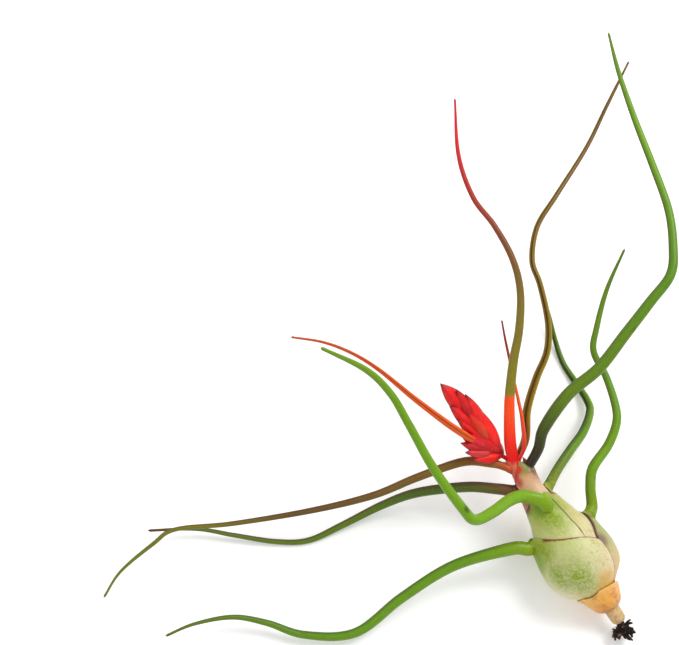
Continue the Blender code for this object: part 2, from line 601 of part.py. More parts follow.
def build_root_knot(material, collection):
    """A dark knot of dead root ends."""
    draw = random.Random(ROOT_SEED)
    core = bmesh.new()
    bmesh.ops.create_icosphere(core, subdivisions=2, radius=KNOT_RADIUS,
                               matrix=Matrix.Translation(KNOT_CENTRE))
    forms = [core]
    away = -AXIS
    while len(forms) <= ROOT_COUNT:
        way = Vector([draw.uniform(-1, 1) for _ in range(3)]).normalized()
        if way.dot(away) < ROOT_BACK:
            continue
        mesh = bmesh.new()
        radius = draw.uniform(*ROOT_RADIUS)
        length = draw.uniform(*ROOT_LENGTH)
        start, end = KNOT_CENTRE + ROOT_SUNK * KNOT_RADIUS * way, KNOT_CENTRE + length * way
        spindle(mesh, start, end, 2 * radius, 2 * radius, ROOT_SIDES, ROOT_BULGE, ROOT_FACING)
        forms.append(mesh)
    return fused("root_knot", forms, material, collection)


def main():
    for old in list(bpy.data.objects):
        bpy.data.objects.remove(old, do_unlink=True)
    plant = bpy.data.collections.new("bulbosa_air_plant")
    bpy.context.scene.collection.children.link(plant)
    materials = {tint: plain_material(tint) for tint in TINTS}
    for index, leaf in enumerate(LEAVES):
        build_leaf(index, materials[leaf["tint"]], plant)
    build_long_bract(materials[LONG_BRACT["tint"]], plant)
    build_stem(materials["tan"], plant)
    build_flower_head(materials["red"], plant)
    build_root_knot(materials["black"], plant)


main()
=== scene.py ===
"""Looks of a bulbosa air plant: fine leaves, flower head and roots over the part's solids.

Lengths are in millimetres until a mesh is made, in the part's frame, with the part's own routes and outlines.
"""
import math
import random

import bmesh
import bpy
import numpy as np
from mathutils import Matrix, Vector


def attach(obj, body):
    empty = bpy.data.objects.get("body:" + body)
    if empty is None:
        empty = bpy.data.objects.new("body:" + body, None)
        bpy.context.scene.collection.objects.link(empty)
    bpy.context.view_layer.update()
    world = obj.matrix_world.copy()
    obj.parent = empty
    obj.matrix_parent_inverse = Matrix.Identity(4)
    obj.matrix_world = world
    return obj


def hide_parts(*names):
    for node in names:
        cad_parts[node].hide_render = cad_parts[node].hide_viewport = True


MM = 0.001

# Camera, as the photograph was taken
CAMERA_PLACE = (-0.07763, -0.08348, 0.38952)
CAMERA_TILT = 24.0  # degrees from straight down
CAMERA_LENS = 62.0
CAMERA_SENSOR = 36.0

# Studio, in metres: a key light at the back right and a fill light at the front left
SKY_STRENGTH = 0.72
LIGHT_AIM = (-0.02, 0.05, 0.0)
# (name, place, size, power)
LIGHTS = [("key", (0.35, 0.35, 0.75), 0.4, 5.2), ("fill", (-0.6, -0.3, 0.7), 0.8, 1.2)]
FLOOR_WIDTH = 6.0
FLOOR_DROP = 0.00005
FLOOR_COLOUR = (0.93, 0.93, 0.93)
FLOOR_GLOW = 0.1
WHITE = (1.0, 1.0, 1.0)

# Bulb axis and outline
BULB_BASE = Vector((9.9, -14.25, 7.8))
BULB_HEADING = 124.8
BULB_TILT = 15.0
SHOWN_SIDE = Vector((0.0, -0.407, 0.914))
BULB_OUTLINE = [(0.0, 3.5), (1.2, 4.7), (2.4, 5.3), (4.0, 6.0), (6.5, 7.2), (8.4, 9.0), (10.5, 11.0),
                (12.3, 11.9), (14.7, 12.4), (19.0, 12.8), (26.7, 11.5), (33.4, 9.0), (37.0, 7.6), (41.7, 6.3),
                (45.7, 5.4), (50.5, 4.6), (56.5, 3.8), (62.0, 3.4)]

# Nested sheaths
WALL = 0.6
MARGIN_WALL = 0.16
THINNING = 6  # power by which a wall thins towards its margins
LAYER_PITCH = 0.9
MARGIN_CLEAR = 1.5
MARGIN_RISE = 6.5
COVER_REACH = 2.0  # how far below its root a sheath still presses
MARGIN_CLOSING = 2.0  # degrees by which the margins close faster above a sheath
MARGIN_CURVE = 2  # power by which a row runs up towards its margins
ARMPIT_CURVE = 4  # power by which the middle of the rows falls back to the armpit
SLOPE_STEP = 0.5  # over which a margin's slant is taken
SCALE_LIFT = -0.1
SHEATH_SLOPE = 1.6
GAP = 0.3
LIFT_SPREAD = 0.9
STEM_OUTLINE = [(-5.1, 1.7), (-4.4, 2.3), (-2.0, 2.5), (0.0, 2.5), (3.0, 2.7), (9.0, 3.0), (14.0, 2.8),
                (20.0, 2.5), (30.0, 1.9), (42.0, 1.3)]

# Fine mesh
ROW_STEP = 1.0  # between the rows of a sheath
ROW_CLEAR = 0.3  # least room between the first rows
MARGIN_TURN = 5.0  # degrees that a margin may turn between rows of its shoulder
SHEATH_FINENESS = 2.5  # columns for each column of the part's sheath
BLADE_COLUMNS = 10
ROLL_STEP = 16.0  # degrees between the columns of a blade
BLADE_RINGS = 170
CURVE_STEPS = 12  # between two given points of a route
BEND_LENGTH = 14.0  # length of path that a bend of one radian counts for
BLADE_START = 1.4
SHARP_ANGLE = 60.0  # degrees from which an edge is shaded sharp
GROOVE = [(0.17, -0.66), (0.0, -0.5), (-0.17, -0.66)]  # across and up, as parts of the radius and depth
ROUND = [(0.0, 1.0), (1.0, 1.0)]  # depths of a blade as deep as it is wide

# Where the colours lie
FAR = 9.0  # further from a margin or crease than its colour reaches
MARGIN_FADE = 1.4  # over which a margin's colour ends below the blade
WARMTH = 0.3  # how pink the right of the bulb is
WARM_FROM = -8.0  # and over which angles it turns
WARM_SPREAD = 70.0
MOTTLE_ASPECT = 0.75  # width of a patch of mottling for its length
MOTTLE_WASH = 0.4  # how far mottling tints the ground between its dots
STAIN_STRENGTH = 0.9
SPOT_STRENGTH = 0.75
SPOT_ASPECT = 0.7
MARK_HARDNESS = 4  # power by which a stain or spot ends
BLADE_GRAIN = 40.0  # where the grain of a blade starts
VEIN_END = (24.0, 36.0)  # along the axis, where the bulb's veins fade out
BLADE_MOTTLE = 6.0  # over which mottling fades out along a blade
RIM_TURN = 100.0  # degrees from the underside where a blade's edge colour starts
RIM_SPREAD = 55.0
RIM_MARGIN = 1.2  # room that keeps a margin's colour off a blade
# Painted shade: how far the groove along a blade's top is darkened towards DARK
GROOVE_PAINTED_SHADE = 0.3


def rgb(red, green, blue):
    """Linear colour from the 0 to 255 values that a screen shows."""
    return tuple((c / 255 / 12.92) if c / 255 <= 0.04045 else ((c / 255 + 0.055) / 1.055) ** 2.4
                 for c in (red, green, blue))


CREAM = rgb(214, 210, 172)
PALE_GREEN = rgb(168, 182, 84)
FRESH_GREEN = rgb(104, 150, 0)
MOTTLE_GREEN = rgb(128, 150, 0)
DEEP_GREEN = rgb(92, 122, 0)
SHADE_GREEN = rgb(58, 76, 0)
OLIVE = rgb(116, 110, 4)
BRONZE = rgb(98, 62, 26)
BROWN = rgb(88, 42, 22)
DARK = rgb(40, 30, 14)
ORANGE = rgb(250, 76, 12)
RED = rgb(232, 10, 14)
SCARLET = rgb(246, 24, 10)
CARMINE = rgb(176, 4, 20)
MAROON = rgb(110, 18, 30)
PINK = rgb(220, 176, 148)
OCHRE = rgb(214, 178, 92)
AMBER = rgb(230, 158, 30)
VEIN_BROWN = rgb(140, 110, 60)
CREASE_OLIVE = rgb(72, 70, 18)
PAPER_PALE = rgb(246, 210, 128)
PAPER_STAIN = rgb(176, 92, 26)
# Painted shade at the bases of the bracts, under the bracts that overlap them
BRACT_BASE_PAINTED_SHADE = rgb(130, 0, 8)
BRACT_FLUSH = rgb(250, 70, 40)
BRACT_VEIN = rgb(150, 4, 16)
BRACT_EDGE = rgb(96, 4, 18)
STEM_TAN = rgb(206, 172, 122)
BARK_DUST = rgb(150, 112, 70)
BARK_PIT = rgb(30, 20, 12)
STREAK_SHADE = (0.45, 0.5, 0.2)
CLOUD_SHADE = (1.0, 0.62, 0.4)
SPECKLE_SHADE = (0.6, 0.62, 0.5)
PALE_SCALE = (0.8, 0.8, 0.66)

# Textures: features a metre, or for those that run with the leaf a stretch and features a millimetre
CLOUDS = dict(scale=240.0, detail=3.0)
VEINS = dict(scale=150.0, detail=2.0)
BLOTCHES = dict(scale=900.0, detail=6.0, roughness=0.75)
SPECKLES = dict(scale=1900.0, detail=3.0, roughness=0.7)
FLECKS = dict(scale=2600.0, detail=2.0, roughness=0.7)
PAPER_STAINS = dict(scale=300.0, detail=4.0, roughness=0.6)
BRACT_CLOUDS = dict(scale=420.0, detail=3.0)
BARK_FIBRES = dict(scale=900.0, detail=6.0, roughness=0.7)
DUST = dict(scale=320.0, detail=3.0)
LEAF_STREAKS = dict(stretch=(0.2, 3.0, 1.0), scale=1.6, detail=4.0)
PAPER_FIBRES = dict(stretch=(0.2, 2.5, 1.0), scale=1.4, detail=5.0, roughness=0.65)
BRACT_VEINS = dict(stretch=(0.12, 3.0, 1.0), scale=1.7, detail=3.0)

# Light under the surface
LEAF_DEPTH = dict(subsurface_weight=0.08, subsurface_radius=(0.002, 0.0015, 0.0006), subsurface_scale=0.6)
PAPER_DEPTH = dict(subsurface_weight=0.08, subsurface_radius=(0.002, 0.001, 0.0004), subsurface_scale=0.5)
BRACT_DEPTH = dict(subsurface_weight=0.06, subsurface_radius=(0.002, 0.0006, 0.0004), subsurface_scale=0.5)

# Everything that grows from the stem, outermost first. Levels are distances along the bulb's axis, and angles
# are degrees round it from the side shown. The shapes are the part's:
#   side: angle of the sheath's middle
#   root: level where the sheath starts, and armpit where its blade leaves the bulb
#   lean: degrees between the blade's start and the axis
#   lift: how far the sheath swells at the blade, and over which length
#   margins: (level, degrees to the left margin, degrees to the right)
#   widths: (part of the blade's length, width)
#   depths: (part of the blade's length, depth for its width), 1 where not given
#   route: points that the middle of the blade goes through
# The looks are:
#   sheath: (level, colour)
#   blade: (part of the blade's length, colour), and edge the colour of its edges
#   margin: colour of the sheath's free margins, and margin_width how broad it is
#   mottle: colour of the mottling round the blade's base, and how far down the sheath it goes
#   patches: (level, angle, size) of more mottling
#   stains: (level, angle, size, colour), and one stain on leaf_far_right is partly painted shade
#   creases: (from level, to level, angle) of fine dark lines
#   spots: (part of the blade's length, degrees round it, radius) of its dark marks
LEAVES = [
    dict(
        name="basal_scale", side=-25, root=0.2, armpit=7.6, columns=8,
        margins=[(0.2, 168, 168), (2.0, 168, 168), (5.0, 160, 150), (6.6, 112, 96), (7.8, 62, 50),
            (8.4, 22, 20)],
        sheath=[(0, rgb(176, 98, 34)), (3, AMBER), (8, rgb(240, 184, 66))], margin=rgb(232, 176, 84),
        mottle=(rgb(196, 120, 40), 30), slot="papery_scale"),
    dict(
        name="leaf_low_left", side=-80, root=2.0, armpit=27.8, lean=66, columns=8, lift=(0.4, 6.0),
        margins=[(2.0, 128, 124), (21.0, 128, 127), (23.5, 118, 118), (26.0, 100, 100), (28.6, 72, 72),
            (31.0, 42, 42), (32.4, 15, 15)],
        widths=[(0.0, 4.6), (0.05, 4.3), (0.15, 3.7), (0.45, 3.2), (0.65, 2.5), (0.85, 1.5), (0.97, 0.9)],
        route=[(-22.8, 3.2, 15.3), (-41, -1.5, 11.5), (-57.5, -11, 8), (-72.5, -21.5, 4.5), (-89, -22, 3.5),
            (-101, -18.5, 5), (-112, -17, 7), (-124, -19.5, 9), (-133, -23.5, 10)],
        sheath=[(6, OCHRE), (9, rgb(216, 206, 150)), (13, CREAM), (22, rgb(200, 202, 148)),
            (32, PALE_GREEN)],
        margin=MAROON,
        blade=[(0, rgb(110, 150, 0)), (0.08, FRESH_GREEN), (0.5, rgb(96, 144, 0)), (0.8, DEEP_GREEN),
            (1, rgb(96, 100, 24))],
        edge=rgb(64, 98, 0), mottle=(MOTTLE_GREEN, 7),
        patches=[(15.5, -18, 6.5), (19, -44, 5), (28, -48, 5)],
        stains=[(8.5, 20, 5.0, rgb(216, 164, 76)), (26, -78, 4.5, FRESH_GREEN)], slot="pale_green_leaf"),
    dict(
        name="leaf_far_right", side=100, root=4.0, armpit=25.8, lean=40, columns=8, lift=(0.5, 5.0),
        margins=[(4.0, 60, 120), (18.0, 58, 120), (22.0, 51, 110), (24.5, 41, 92), (27.5, 26, 66),
            (29.5, 18, 36), (30.8, 12, 14)],
        widths=[(0.0, 4.2), (0.06, 3.5), (0.2, 3.3), (0.45, 2.6), (0.7, 2.0), (0.85, 1.5), (0.97, 0.9)],
        route=[(5, 17.5, 15.5), (4.5, 23, 18), (5.5, 29, 19.8), (11, 36.5, 21), (14, 43.5, 22.5),
            (14, 49.5, 23.5), (11.5, 59, 25), (7.8, 67.5, 26.5), (9, 75, 28.5), (13, 88, 32),
            (19, 100.5, 38)],
        sheath=[(5, rgb(200, 144, 60)), (11, rgb(204, 168, 96)), (15, rgb(180, 178, 118)),
            (20, rgb(148, 166, 96)), (30, rgb(120, 150, 60))],
        # the purplish stain beside the low left leaf's overlapping margin is partly painted shade
        margin=rgb(84, 24, 34), margin_width=0.6, stains=[(21, 54, 2.6, rgb(126, 96, 92))],
        blade=[(0, rgb(106, 140, 0)), (0.2, FRESH_GREEN), (0.5, rgb(92, 140, 0)), (0.8, DEEP_GREEN),
            (1, rgb(84, 116, 40))],
        edge=DEEP_GREEN, mottle=(MOTTLE_GREEN, 7), spots=[(0.36, 30, 1.0), (0.13, -40, 0.7)],
        slot="deep_green_leaf"),
    dict(
        name="leaf_front", side=6, root=6.0, armpit=36.8, lean=50, columns=8, lift=(0.6, 5.5),
        margins=[(6.0, 124, 100), (30.0, 118, 102), (34.0, 108, 95), (37.8, 92, 80), (40.6, 72, 62),
            (42.4, 42, 36), (43.4, 17, 17)],
        widths=[(0.0, 4.9), (0.06, 4.2), (0.2, 3.7), (0.4, 3.0), (0.6, 2.6), (0.8, 2.1), (0.97, 1.1)],
        depths=[(0.0, 0.5), (0.03, 0.72), (0.08, 0.95), (0.12, 1.0), (1.0, 1.0)],
        route=[(-13.6, 15.6, 28.2), (-17.4, 16.6, 28.9), (-21, 16.4, 30.3), (-25.2, 14, 33),
            (-30.5, 9.5, 37.5), (-36.5, 6, 41.5), (-40.5, 8.5, 45), (-49.5, 19, 52), (-57, 30, 60),
            (-62.5, 37.5, 66), (-70, 42, 74), (-83, 43.5, 87)],
        sheath=[(20, CREAM), (28, rgb(208, 206, 150)), (35, rgb(186, 192, 110)), (42, rgb(150, 172, 60))],
        margin=MAROON,
        blade=[(0, rgb(124, 160, 0)), (0.1, rgb(112, 160, 0)), (0.6, FRESH_GREEN), (1, rgb(104, 138, 0))],
        edge=rgb(80, 122, 0), mottle=(rgb(120, 150, 0), 6.5),
        patches=[(36.5, -4, 5.5)], creases=[(26, 40, 31)],
        stains=[(41.5, -58, 2.2, rgb(112, 40, 26)), (40, -10, 3.0, FRESH_GREEN)], spots=[(0.35, 20, 1.2)],
        slot="bright_green_leaf"),
    dict(
        name="leaf_back_floor", side=128, root=7.8, armpit=40.4, lean=58, columns=4, lift=(0.5, 4.0),
        margins=[(7.8, 62, 62), (38.0, 56, 56), (42.0, 45, 45), (44.5, 20, 20)],
        widths=[(0.0, 3.6), (0.06, 3.3), (0.3, 3.1), (0.55, 2.5), (0.75, 1.9), (0.9, 1.3), (0.97, 0.9)],
        route=[(-4.5, 31, 13.2), (0.5, 38, 11), (6, 45.5, 8), (9.5, 53.5, 5), (9.3, 58.5, 3.3),
            (6.5, 65.5, 1.4), (2.5, 73.5, 0.85), (0, 81.5, 2.6), (-2.5, 90.5, 7), (-5.5, 97, 12)],
        sheath=[(20, CREAM), (44, PALE_GREEN)], margin=MAROON,
        blade=[(0, rgb(110, 108, 26)), (0.12, rgb(96, 124, 22)), (0.3, FRESH_GREEN), (0.8, DEEP_GREEN),
            (1, rgb(70, 104, 24))],
        edge=rgb(64, 92, 18), mottle=(MOTTLE_GREEN, 6), slot="bright_green_leaf"),
    dict(
        name="leaf_left_floor", side=-108, root=9.4, armpit=45.6, lean=50, columns=4, lift=(0.5, 4.0),
        margins=[(9.4, 70, 70), (41.0, 66, 66), (45.5, 54, 54), (48.0, 36, 36), (49.4, 22, 22)],
        widths=[(0.0, 3.9), (0.06, 3.6), (0.25, 3.2), (0.45, 2.4), (0.6, 1.9), (0.8, 1.5), (0.97, 0.9)],
        route=[(-26.5, 22.7, 17), (-36, 24, 14.5), (-51.5, 23.5, 9.5), (-63, 20.5, 5.2), (-76.5, 14.5, 1.9),
            (-88, 9.5, 0.75), (-99, 9, 1), (-113, 10.8, 2.5), (-125.5, 12.5, 4), (-141.5, 11.5, 6)],
        sheath=[(30, CREAM), (40, rgb(178, 134, 96)), (49, rgb(146, 84, 60))], margin=MAROON,
        blade=[(0, rgb(104, 70, 28)), (0.04, rgb(84, 92, 14)), (0.2, rgb(72, 104, 10)),
            (0.5, DEEP_GREEN), (0.85, rgb(92, 108, 22)), (1, BROWN)],
        edge=rgb(78, 58, 28), mottle=(rgb(110, 60, 36), 5), slot="olive_leaf"),
    dict(
        name="leaf_tall_right", side=62, root=10.8, armpit=50.6, lean=24, columns=8, lift=(0.6, 3.5),
        margins=[(10.8, 158, 100), (46.0, 156, 100), (50.0, 140, 96), (52.0, 106, 84), (54.0, 66, 58),
            (55.6, 36, 34)],
        widths=[(0.0, 4.3), (0.04, 4.1), (0.15, 4.0), (0.35, 3.5), (0.55, 2.8), (0.75, 2.3), (0.9, 1.6),
            (0.98, 0.9)],
        depths=[(0.0, 0.7), (0.05, 0.85), (0.12, 1.0), (1.0, 1.0)],
        route=[(-13.2, 33.3, 26.8), (-11.5, 39, 31), (-4, 48.5, 36.5), (5.5, 55.5, 41.5), (14, 65.5, 46),
            (22, 75, 50), (28.5, 83, 53), (30, 92, 54.7), (29.5, 105, 56.5), (25.5, 121, 58.5),
            (21, 137, 60.5), (17, 155, 62), (15, 172, 62)],
        sheath=[(36, CREAM), (44, rgb(222, 192, 156)), (49, rgb(218, 168, 130)), (53, rgb(196, 150, 96)),
            (56, rgb(84, 66, 20))],
        margin=rgb(196, 20, 30), margin_width=0.8,
        stains=[(53, 18, 2.4, rgb(132, 140, 50)), (50, -40, 2.0, rgb(200, 70, 50))],
        blade=[(0, DARK), (0.03, rgb(48, 40, 16)), (0.07, SHADE_GREEN), (0.16, DEEP_GREEN),
            (0.45, rgb(84, 128, 0)), (0.75, FRESH_GREEN), (1, rgb(92, 124, 20))],
        edge=SHADE_GREEN, mottle=(DARK, 3), spots=[(0.42, 20, 0.9), (0.33, -30, 0.7), (0.22, 10, 0.7)],
        slot="deep_green_leaf"),
    dict(
        name="leaf_long_left", side=-76, root=12.0, armpit=52.6, lean=30, columns=8,
        margins=[(12.0, 84, 96), (53.4, 84, 98), (55.8, 70, 88), (57.0, 40, 50), (57.8, 24, 24)],
        widths=[(0.0, 3.4), (0.06, 3.1), (0.2, 2.7), (0.45, 2.0), (0.65, 1.6), (0.85, 1.3), (0.97, 0.8)],
        depths=[(0.0, 0.7), (0.08, 1.0), (1.0, 1.0)],
        route=[(-23.9, 28.5, 22.4), (-28.2, 29.2, 24), (-37.5, 29.5, 24.8), (-52.5, 24.5, 24),
            (-67, 19, 22), (-87, 14.7, 19.5), (-112.5, 11.2, 16.5), (-131, 9.8, 14.5), (-138.5, 5.5, 12),
            (-149, -2.5, 8), (-154.5, -10.5, 5)],
        sheath=[(40, CREAM), (48, PINK), (54, rgb(226, 120, 84)), (58, rgb(206, 84, 44))],
        margin=rgb(190, 20, 30), margin_width=0.6,
        blade=[(0, rgb(176, 84, 34)), (0.05, rgb(124, 98, 18)), (0.2, rgb(112, 86, 16)),
            (0.5, rgb(98, 72, 28)), (0.72, OLIVE), (1, DEEP_GREEN)],
        edge=rgb(86, 44, 18), mottle=(rgb(206, 70, 44), 5), slot="bronze_leaf"),
    dict(
        name="leaf_tall_back", side=150, root=13.5, armpit=54.0, lean=8, columns=4,
        margins=[(13.5, 34, 34), (50.0, 34, 34), (54.0, 32, 32)],
        widths=[(0.0, 2.6), (0.08, 2.9), (0.3, 2.2), (0.55, 1.8), (0.75, 1.5), (0.9, 1.2), (0.97, 0.8)],
        depths=[(0.0, 0.45), (0.12, 0.9), (0.2, 1.0), (1.0, 1.0)],
        route=[(-16.5, 38, 22.5), (-16, 46.5, 26.5), (-13, 56, 31), (-9.5, 64, 34.7), (-9, 73, 38),
            (-11.5, 84.5, 42.5), (-14, 92.5, 45), (-12, 103.5, 48), (-5, 114.5, 50), (6.5, 133, 50),
            (15, 150, 49.5), (25.5, 171, 47)],
        sheath=[(40, CREAM), (54, OLIVE)], margin=MAROON,
        blade=[(0, rgb(208, 120, 20)), (0.1, rgb(168, 144, 10)), (0.25, rgb(150, 132, 10)),
            (0.42, rgb(134, 116, 10)), (0.6, rgb(118, 76, 24)), (0.75, BRONZE), (0.9, BROWN), (1, DARK)],
        edge=rgb(120, 92, 14), mottle=(rgb(190, 100, 30), 4), slot="olive_leaf"),
    dict(
        name="leaf_red_tipped", side=8, root=13.5, armpit=55.0, lean=-3, columns=4,
        margins=[(13.5, 46, 46), (51.0, 46, 46), (55.0, 44, 44)],
        widths=[(0.0, 3.9), (0.05, 4.0), (0.18, 3.3), (0.4, 2.5), (0.6, 1.9), (0.8, 1.5), (0.97, 0.8)],
        depths=[(0.0, 0.32), (0.12, 0.6), (0.25, 0.95), (1.0, 1.0)],
        route=[(-22.4, 35, 28.0), (-23, 43, 34), (-23, 48.5, 38), (-22, 57.5, 43), (-20.3, 66.5, 48),
            (-20, 77.5, 53), (-22.5, 87, 57), (-28, 97.5, 59.5), (-34.5, 107.5, 60.5), (-38.5, 123.5, 60.5),
            (-38.5, 147.5, 58)],
        sheath=[(40, CREAM), (50, rgb(226, 120, 84)), (55, RED)], margin=MAROON,
        blade=[(0, rgb(240, 20, 14)), (0.05, rgb(246, 40, 14)), (0.12, ORANGE), (0.163, ORANGE),
            (0.176, rgb(128, 122, 16)), (0.4, rgb(118, 100, 22)), (0.56, rgb(120, 62, 24)),
            (0.72, rgb(168, 34, 26)), (0.88, rgb(206, 16, 24)), (1, rgb(190, 16, 30))],
        edge=rgb(150, 44, 20), mottle=(RED, 4), slot="russet_leaf"),
    dict(
        name="bract_orange", side=86, root=15.0, armpit=54.0, lean=4, columns=4, slack=0.3,
        margins=[(15.0, 22, 22), (50.0, 22, 22), (54.0, 20, 20)],
        widths=[(0.0, 2.2), (0.15, 2.5), (0.35, 1.9), (0.55, 1.4), (0.8, 1.1), (0.97, 0.7)],
        depths=[(0.0, 0.5), (0.3, 0.6), (1.0, 0.9)],
        route=[(-17.5, 35, 25.4), (-18.3, 42.4, 29.6), (-19.4, 47.5, 32), (-21.5, 57.5, 35),
            (-23.5, 66.5, 38.5), (-24.5, 73, 40)],
        sheath=[(40, CREAM), (54, ORANGE)], margin=MAROON,
        blade=[(0, RED), (0.15, rgb(246, 60, 14)), (0.45, rgb(244, 96, 20)), (0.6, rgb(220, 88, 28)),
            (0.72, rgb(140, 56, 40)), (1, MAROON)],
        edge=rgb(200, 50, 16), mottle=(RED, 4), slot="orange_bract"),
]

# These stand side by side round the flower stalk, so none presses on another
INNERMOST = ("leaf_tall_back", "leaf_red_tipped", "bract_orange")

# The bract under the side spikes, a narrow blade that starts on them
LONG_BRACT = dict(
    name="bract_long",
    widths=[(0.0, 1.6), (0.06, 2.3), (0.3, 2.0), (0.6, 1.3), (0.85, 0.9), (0.97, 0.7)],
    depths=[(0.0, 0.5), (0.3, 0.7), (1.0, 0.9)],
    route=[(-35.0, 33.1, 36.0), (-36.9, 33.6, 37.4), (-43.5, 36.6, 41.4), (-54, 42.8, 47), (-65, 50.4, 52),
           (-73.5, 54.5, 56), (-82.5, 57, 59), (-92.5, 57.5, 62)],
    blade=[(0, SCARLET), (0.06, rgb(250, 104, 20)), (0.3, rgb(240, 110, 24)), (0.5, rgb(196, 96, 26)),
           (0.75, rgb(150, 70, 30)), (1, BROWN)],
    edge=rgb(216, 84, 20), slot="orange_bract")

# The flower head: the stalk's points, and bracts as (root, tip, width, depth, colour); the deeper reds among
# the bracts are partly painted shade
STALK = [(-13.6, 19.5, 18.9), (-21.6, 29.9, 22.2), (-25.6, 32.5, 23.6), (-28.6, 34.4, 27.6), (-33, 38.5, 33),
         (-38, 43, 39)]
SIDE_STALK = [(-27.6, 33.4, 26.2), (-32.5, 32.2, 30.4)]
BRACTS = [
    ((-36, 41.5, 37), (-46, 48.5, 46), 6.0, 3.4, RED),
    ((-31.5, 37, 32.5), (-43, 42.5, 41.8), 5.6, 3.2, RED),
    ((-35, 39.6, 36.4), (-41, 47, 45), 4.4, 3.0, CARMINE),
    ((-31, 36.6, 32), (-38, 45.9, 43.6), 5.2, 3.4, RED),
    ((-26.2, 32.5, 27), (-35.6, 43.8, 40.6), 5.6, 3.8, SCARLET),
    ((-29.5, 34.6, 30), (-37.5, 41.5, 40.6), 5.6, 4.0, rgb(206, 60, 16)),
    ((-28.6, 33.2, 28.6), (-40.6, 39.2, 39.2), 5.0, 3.4, rgb(220, 6, 18)),
    ((-25.2, 32.4, 26.2), (-36.5, 35, 35), 6.0, 4.0, rgb(196, 6, 20)),
    ((-30, 32.6, 29.8), (-39.6, 34.8, 37.4), 4.4, 3.0, rgb(206, 30, 48)),
    ((-29.6, 31.8, 29.2), (-39.4, 32.2, 36), 3.6, 2.6, rgb(160, 8, 24)),
    ((-28.6, 31.4, 28.4), (-37.8, 29.8, 33.6), 3.8, 2.6, rgb(214, 56, 60)),
    ((-25.2, 31.4, 26.0), (-35.6, 28.4, 30.6), 4.4, 2.6, SCARLET),
    ((-24.7, 32.1, 24.6), (-31.5, 36.2, 31.8), 4.6, 3.8, RED),
]
STALK_RADIUS = 0.72
BRACT_RINGS = 22
BRACT_SIDES = 24
BRACT_BULGE = [(0.0, 0.42), (0.18, 0.82), (0.4, 1.0), (0.65, 0.8), (0.85, 0.42), (1.0, 0.02)]
KEEL = 0.22  # how far a bract's keel stands out, as a part of its depth
KEEL_SHARPNESS = 12
BRACT_FLATNESS = 0.4  # power that makes a bract's section a lens

# Stem and other tubes
STEM_RINGS = 70
STEM_SIDES = 28
STALK_STEPS = 24
STALK_SIDES = 16
TUBE_UNDERSIDE = Vector((0.31, 0.17, 0.93))  # any direction that no tube runs along

# Roots
KNOT_CENTRE = Vector((13.6, -20.6, 4.6))
KNOT_RADIUS = 2.6
ROOT_COUNT = 80
ROOT_LENGTH = (1.4, 3.6)
ROOT_RADIUS = (0.35, 0.8)
ROOT_CURL = 0.9
ROOT_START = 0.3  # from the middle, as a part of the knot's radius
ROOT_TAPER = 0.5
ROOT_STEPS = 9
ROOT_SIDES = 7
ROOT_FLOOR = 0.9  # least height of a root's middle
ROOT_BACK = 0.5  # roots that point further up the bulb than this are left out
ROOT_SEED = 11
ROOT_TINTS = [rgb(30, 20, 16), rgb(44, 30, 22), rgb(22, 16, 14), rgb(26, 20, 16), rgb(34, 24, 18),
              rgb(120, 86, 50)]
CORE_REACH = 0.8  # half the core's length, as a part of its radius
CORE_END = 0.6  # ring spacings from each end to the point that it would close in
CORE_RINGS = 13
CORE_SIDES = 16
CORE_TINT = rgb(26, 20, 16)


def between(pairs, x):
    """Value at x on a smooth curve through (x, value) pairs."""
    if x <= pairs[0][0]:
        return pairs[0][1]
    if x >= pairs[-1][0]:
        return pairs[-1][1]
    k = max(i for i in range(len(pairs) - 1) if pairs[i][0] <= x)
    (x0, y0), (x1, y1) = pairs[k], pairs[k + 1]
    slope = (y1 - y0) / (x1 - x0)
    before = slope if k == 0 else (y1 - pairs[k - 1][1]) / (x1 - pairs[k - 1][0])
    after = slope if k + 2 == len(pairs) else (pairs[k + 2][1] - y0) / (pairs[k + 2][0] - x0)
    t = (x - x0) / (x1 - x0)
    width = x1 - x0
    return (y0 * (2 * t ** 3 - 3 * t ** 2 + 1) + y1 * (3 * t ** 2 - 2 * t ** 3)
            + width * before * (t ** 3 - 2 * t ** 2 + t) + width * after * (t ** 3 - t ** 2))


def shade(stops, x):
    """Colour at x between (x, colour) stops."""
    return [float(np.interp(x, [s[0] for s in stops], [s[1][c] for s in stops])) for c in range(3)]


def blend(a, b, t):
    return [p + (q - p) * t for p, q in zip(a, b)]


def ease(t):
    """Smooth step from 0 to 1."""
    t = min(1.0, max(0.0, t))
    return t * t * (3 - 2 * t)


def bulb_frame():
    heading, tilt = math.radians(BULB_HEADING), math.radians(BULB_TILT)
    axis = Vector((math.cos(tilt) * math.cos(heading), math.cos(tilt) * math.sin(heading), math.sin(tilt)))
    front = (SHOWN_SIDE - SHOWN_SIDE.dot(axis) * axis).normalized()
    return axis, front, axis.cross(front)


AXIS, FRONT, RIGHT = bulb_frame()


def radial(angle):
    a = math.radians(angle)
    return math.cos(a) * FRONT + math.sin(a) * RIGHT


def bulb_point(along, angle, radius):
    return BULB_BASE + along * AXIS + radius * radial(angle)


def half_angles(leaf, along):
    """Degrees to the left and right margins at a level, below 0 above the sheath."""
    rows = leaf["margins"]
    if along > rows[-1][0]:
        (a0, l0, r0), (a1, l1, r1) = rows[-2], rows[-1]
        k = (along - a1) / (a1 - a0)
        return l1 + k * (l1 - l0 - MARGIN_CLOSING), r1 + k * (r1 - r0 - MARGIN_CLOSING)
    return [between([(row[0], row[side]) for row in rows], along) for side in (1, 2)]


def turned(angle, side):
    return (angle - side + 180.0) % 360.0 - 180.0


def margin_slant(leaf, along, hand):
    """Length of the left or right margin for each millimetre along the axis."""
    narrowing = half_angles(leaf, along - SLOPE_STEP)[hand] - half_angles(leaf, along + SLOPE_STEP)[hand]
    return math.hypot(1.0, math.radians(narrowing) * between(BULB_OUTLINE, along))


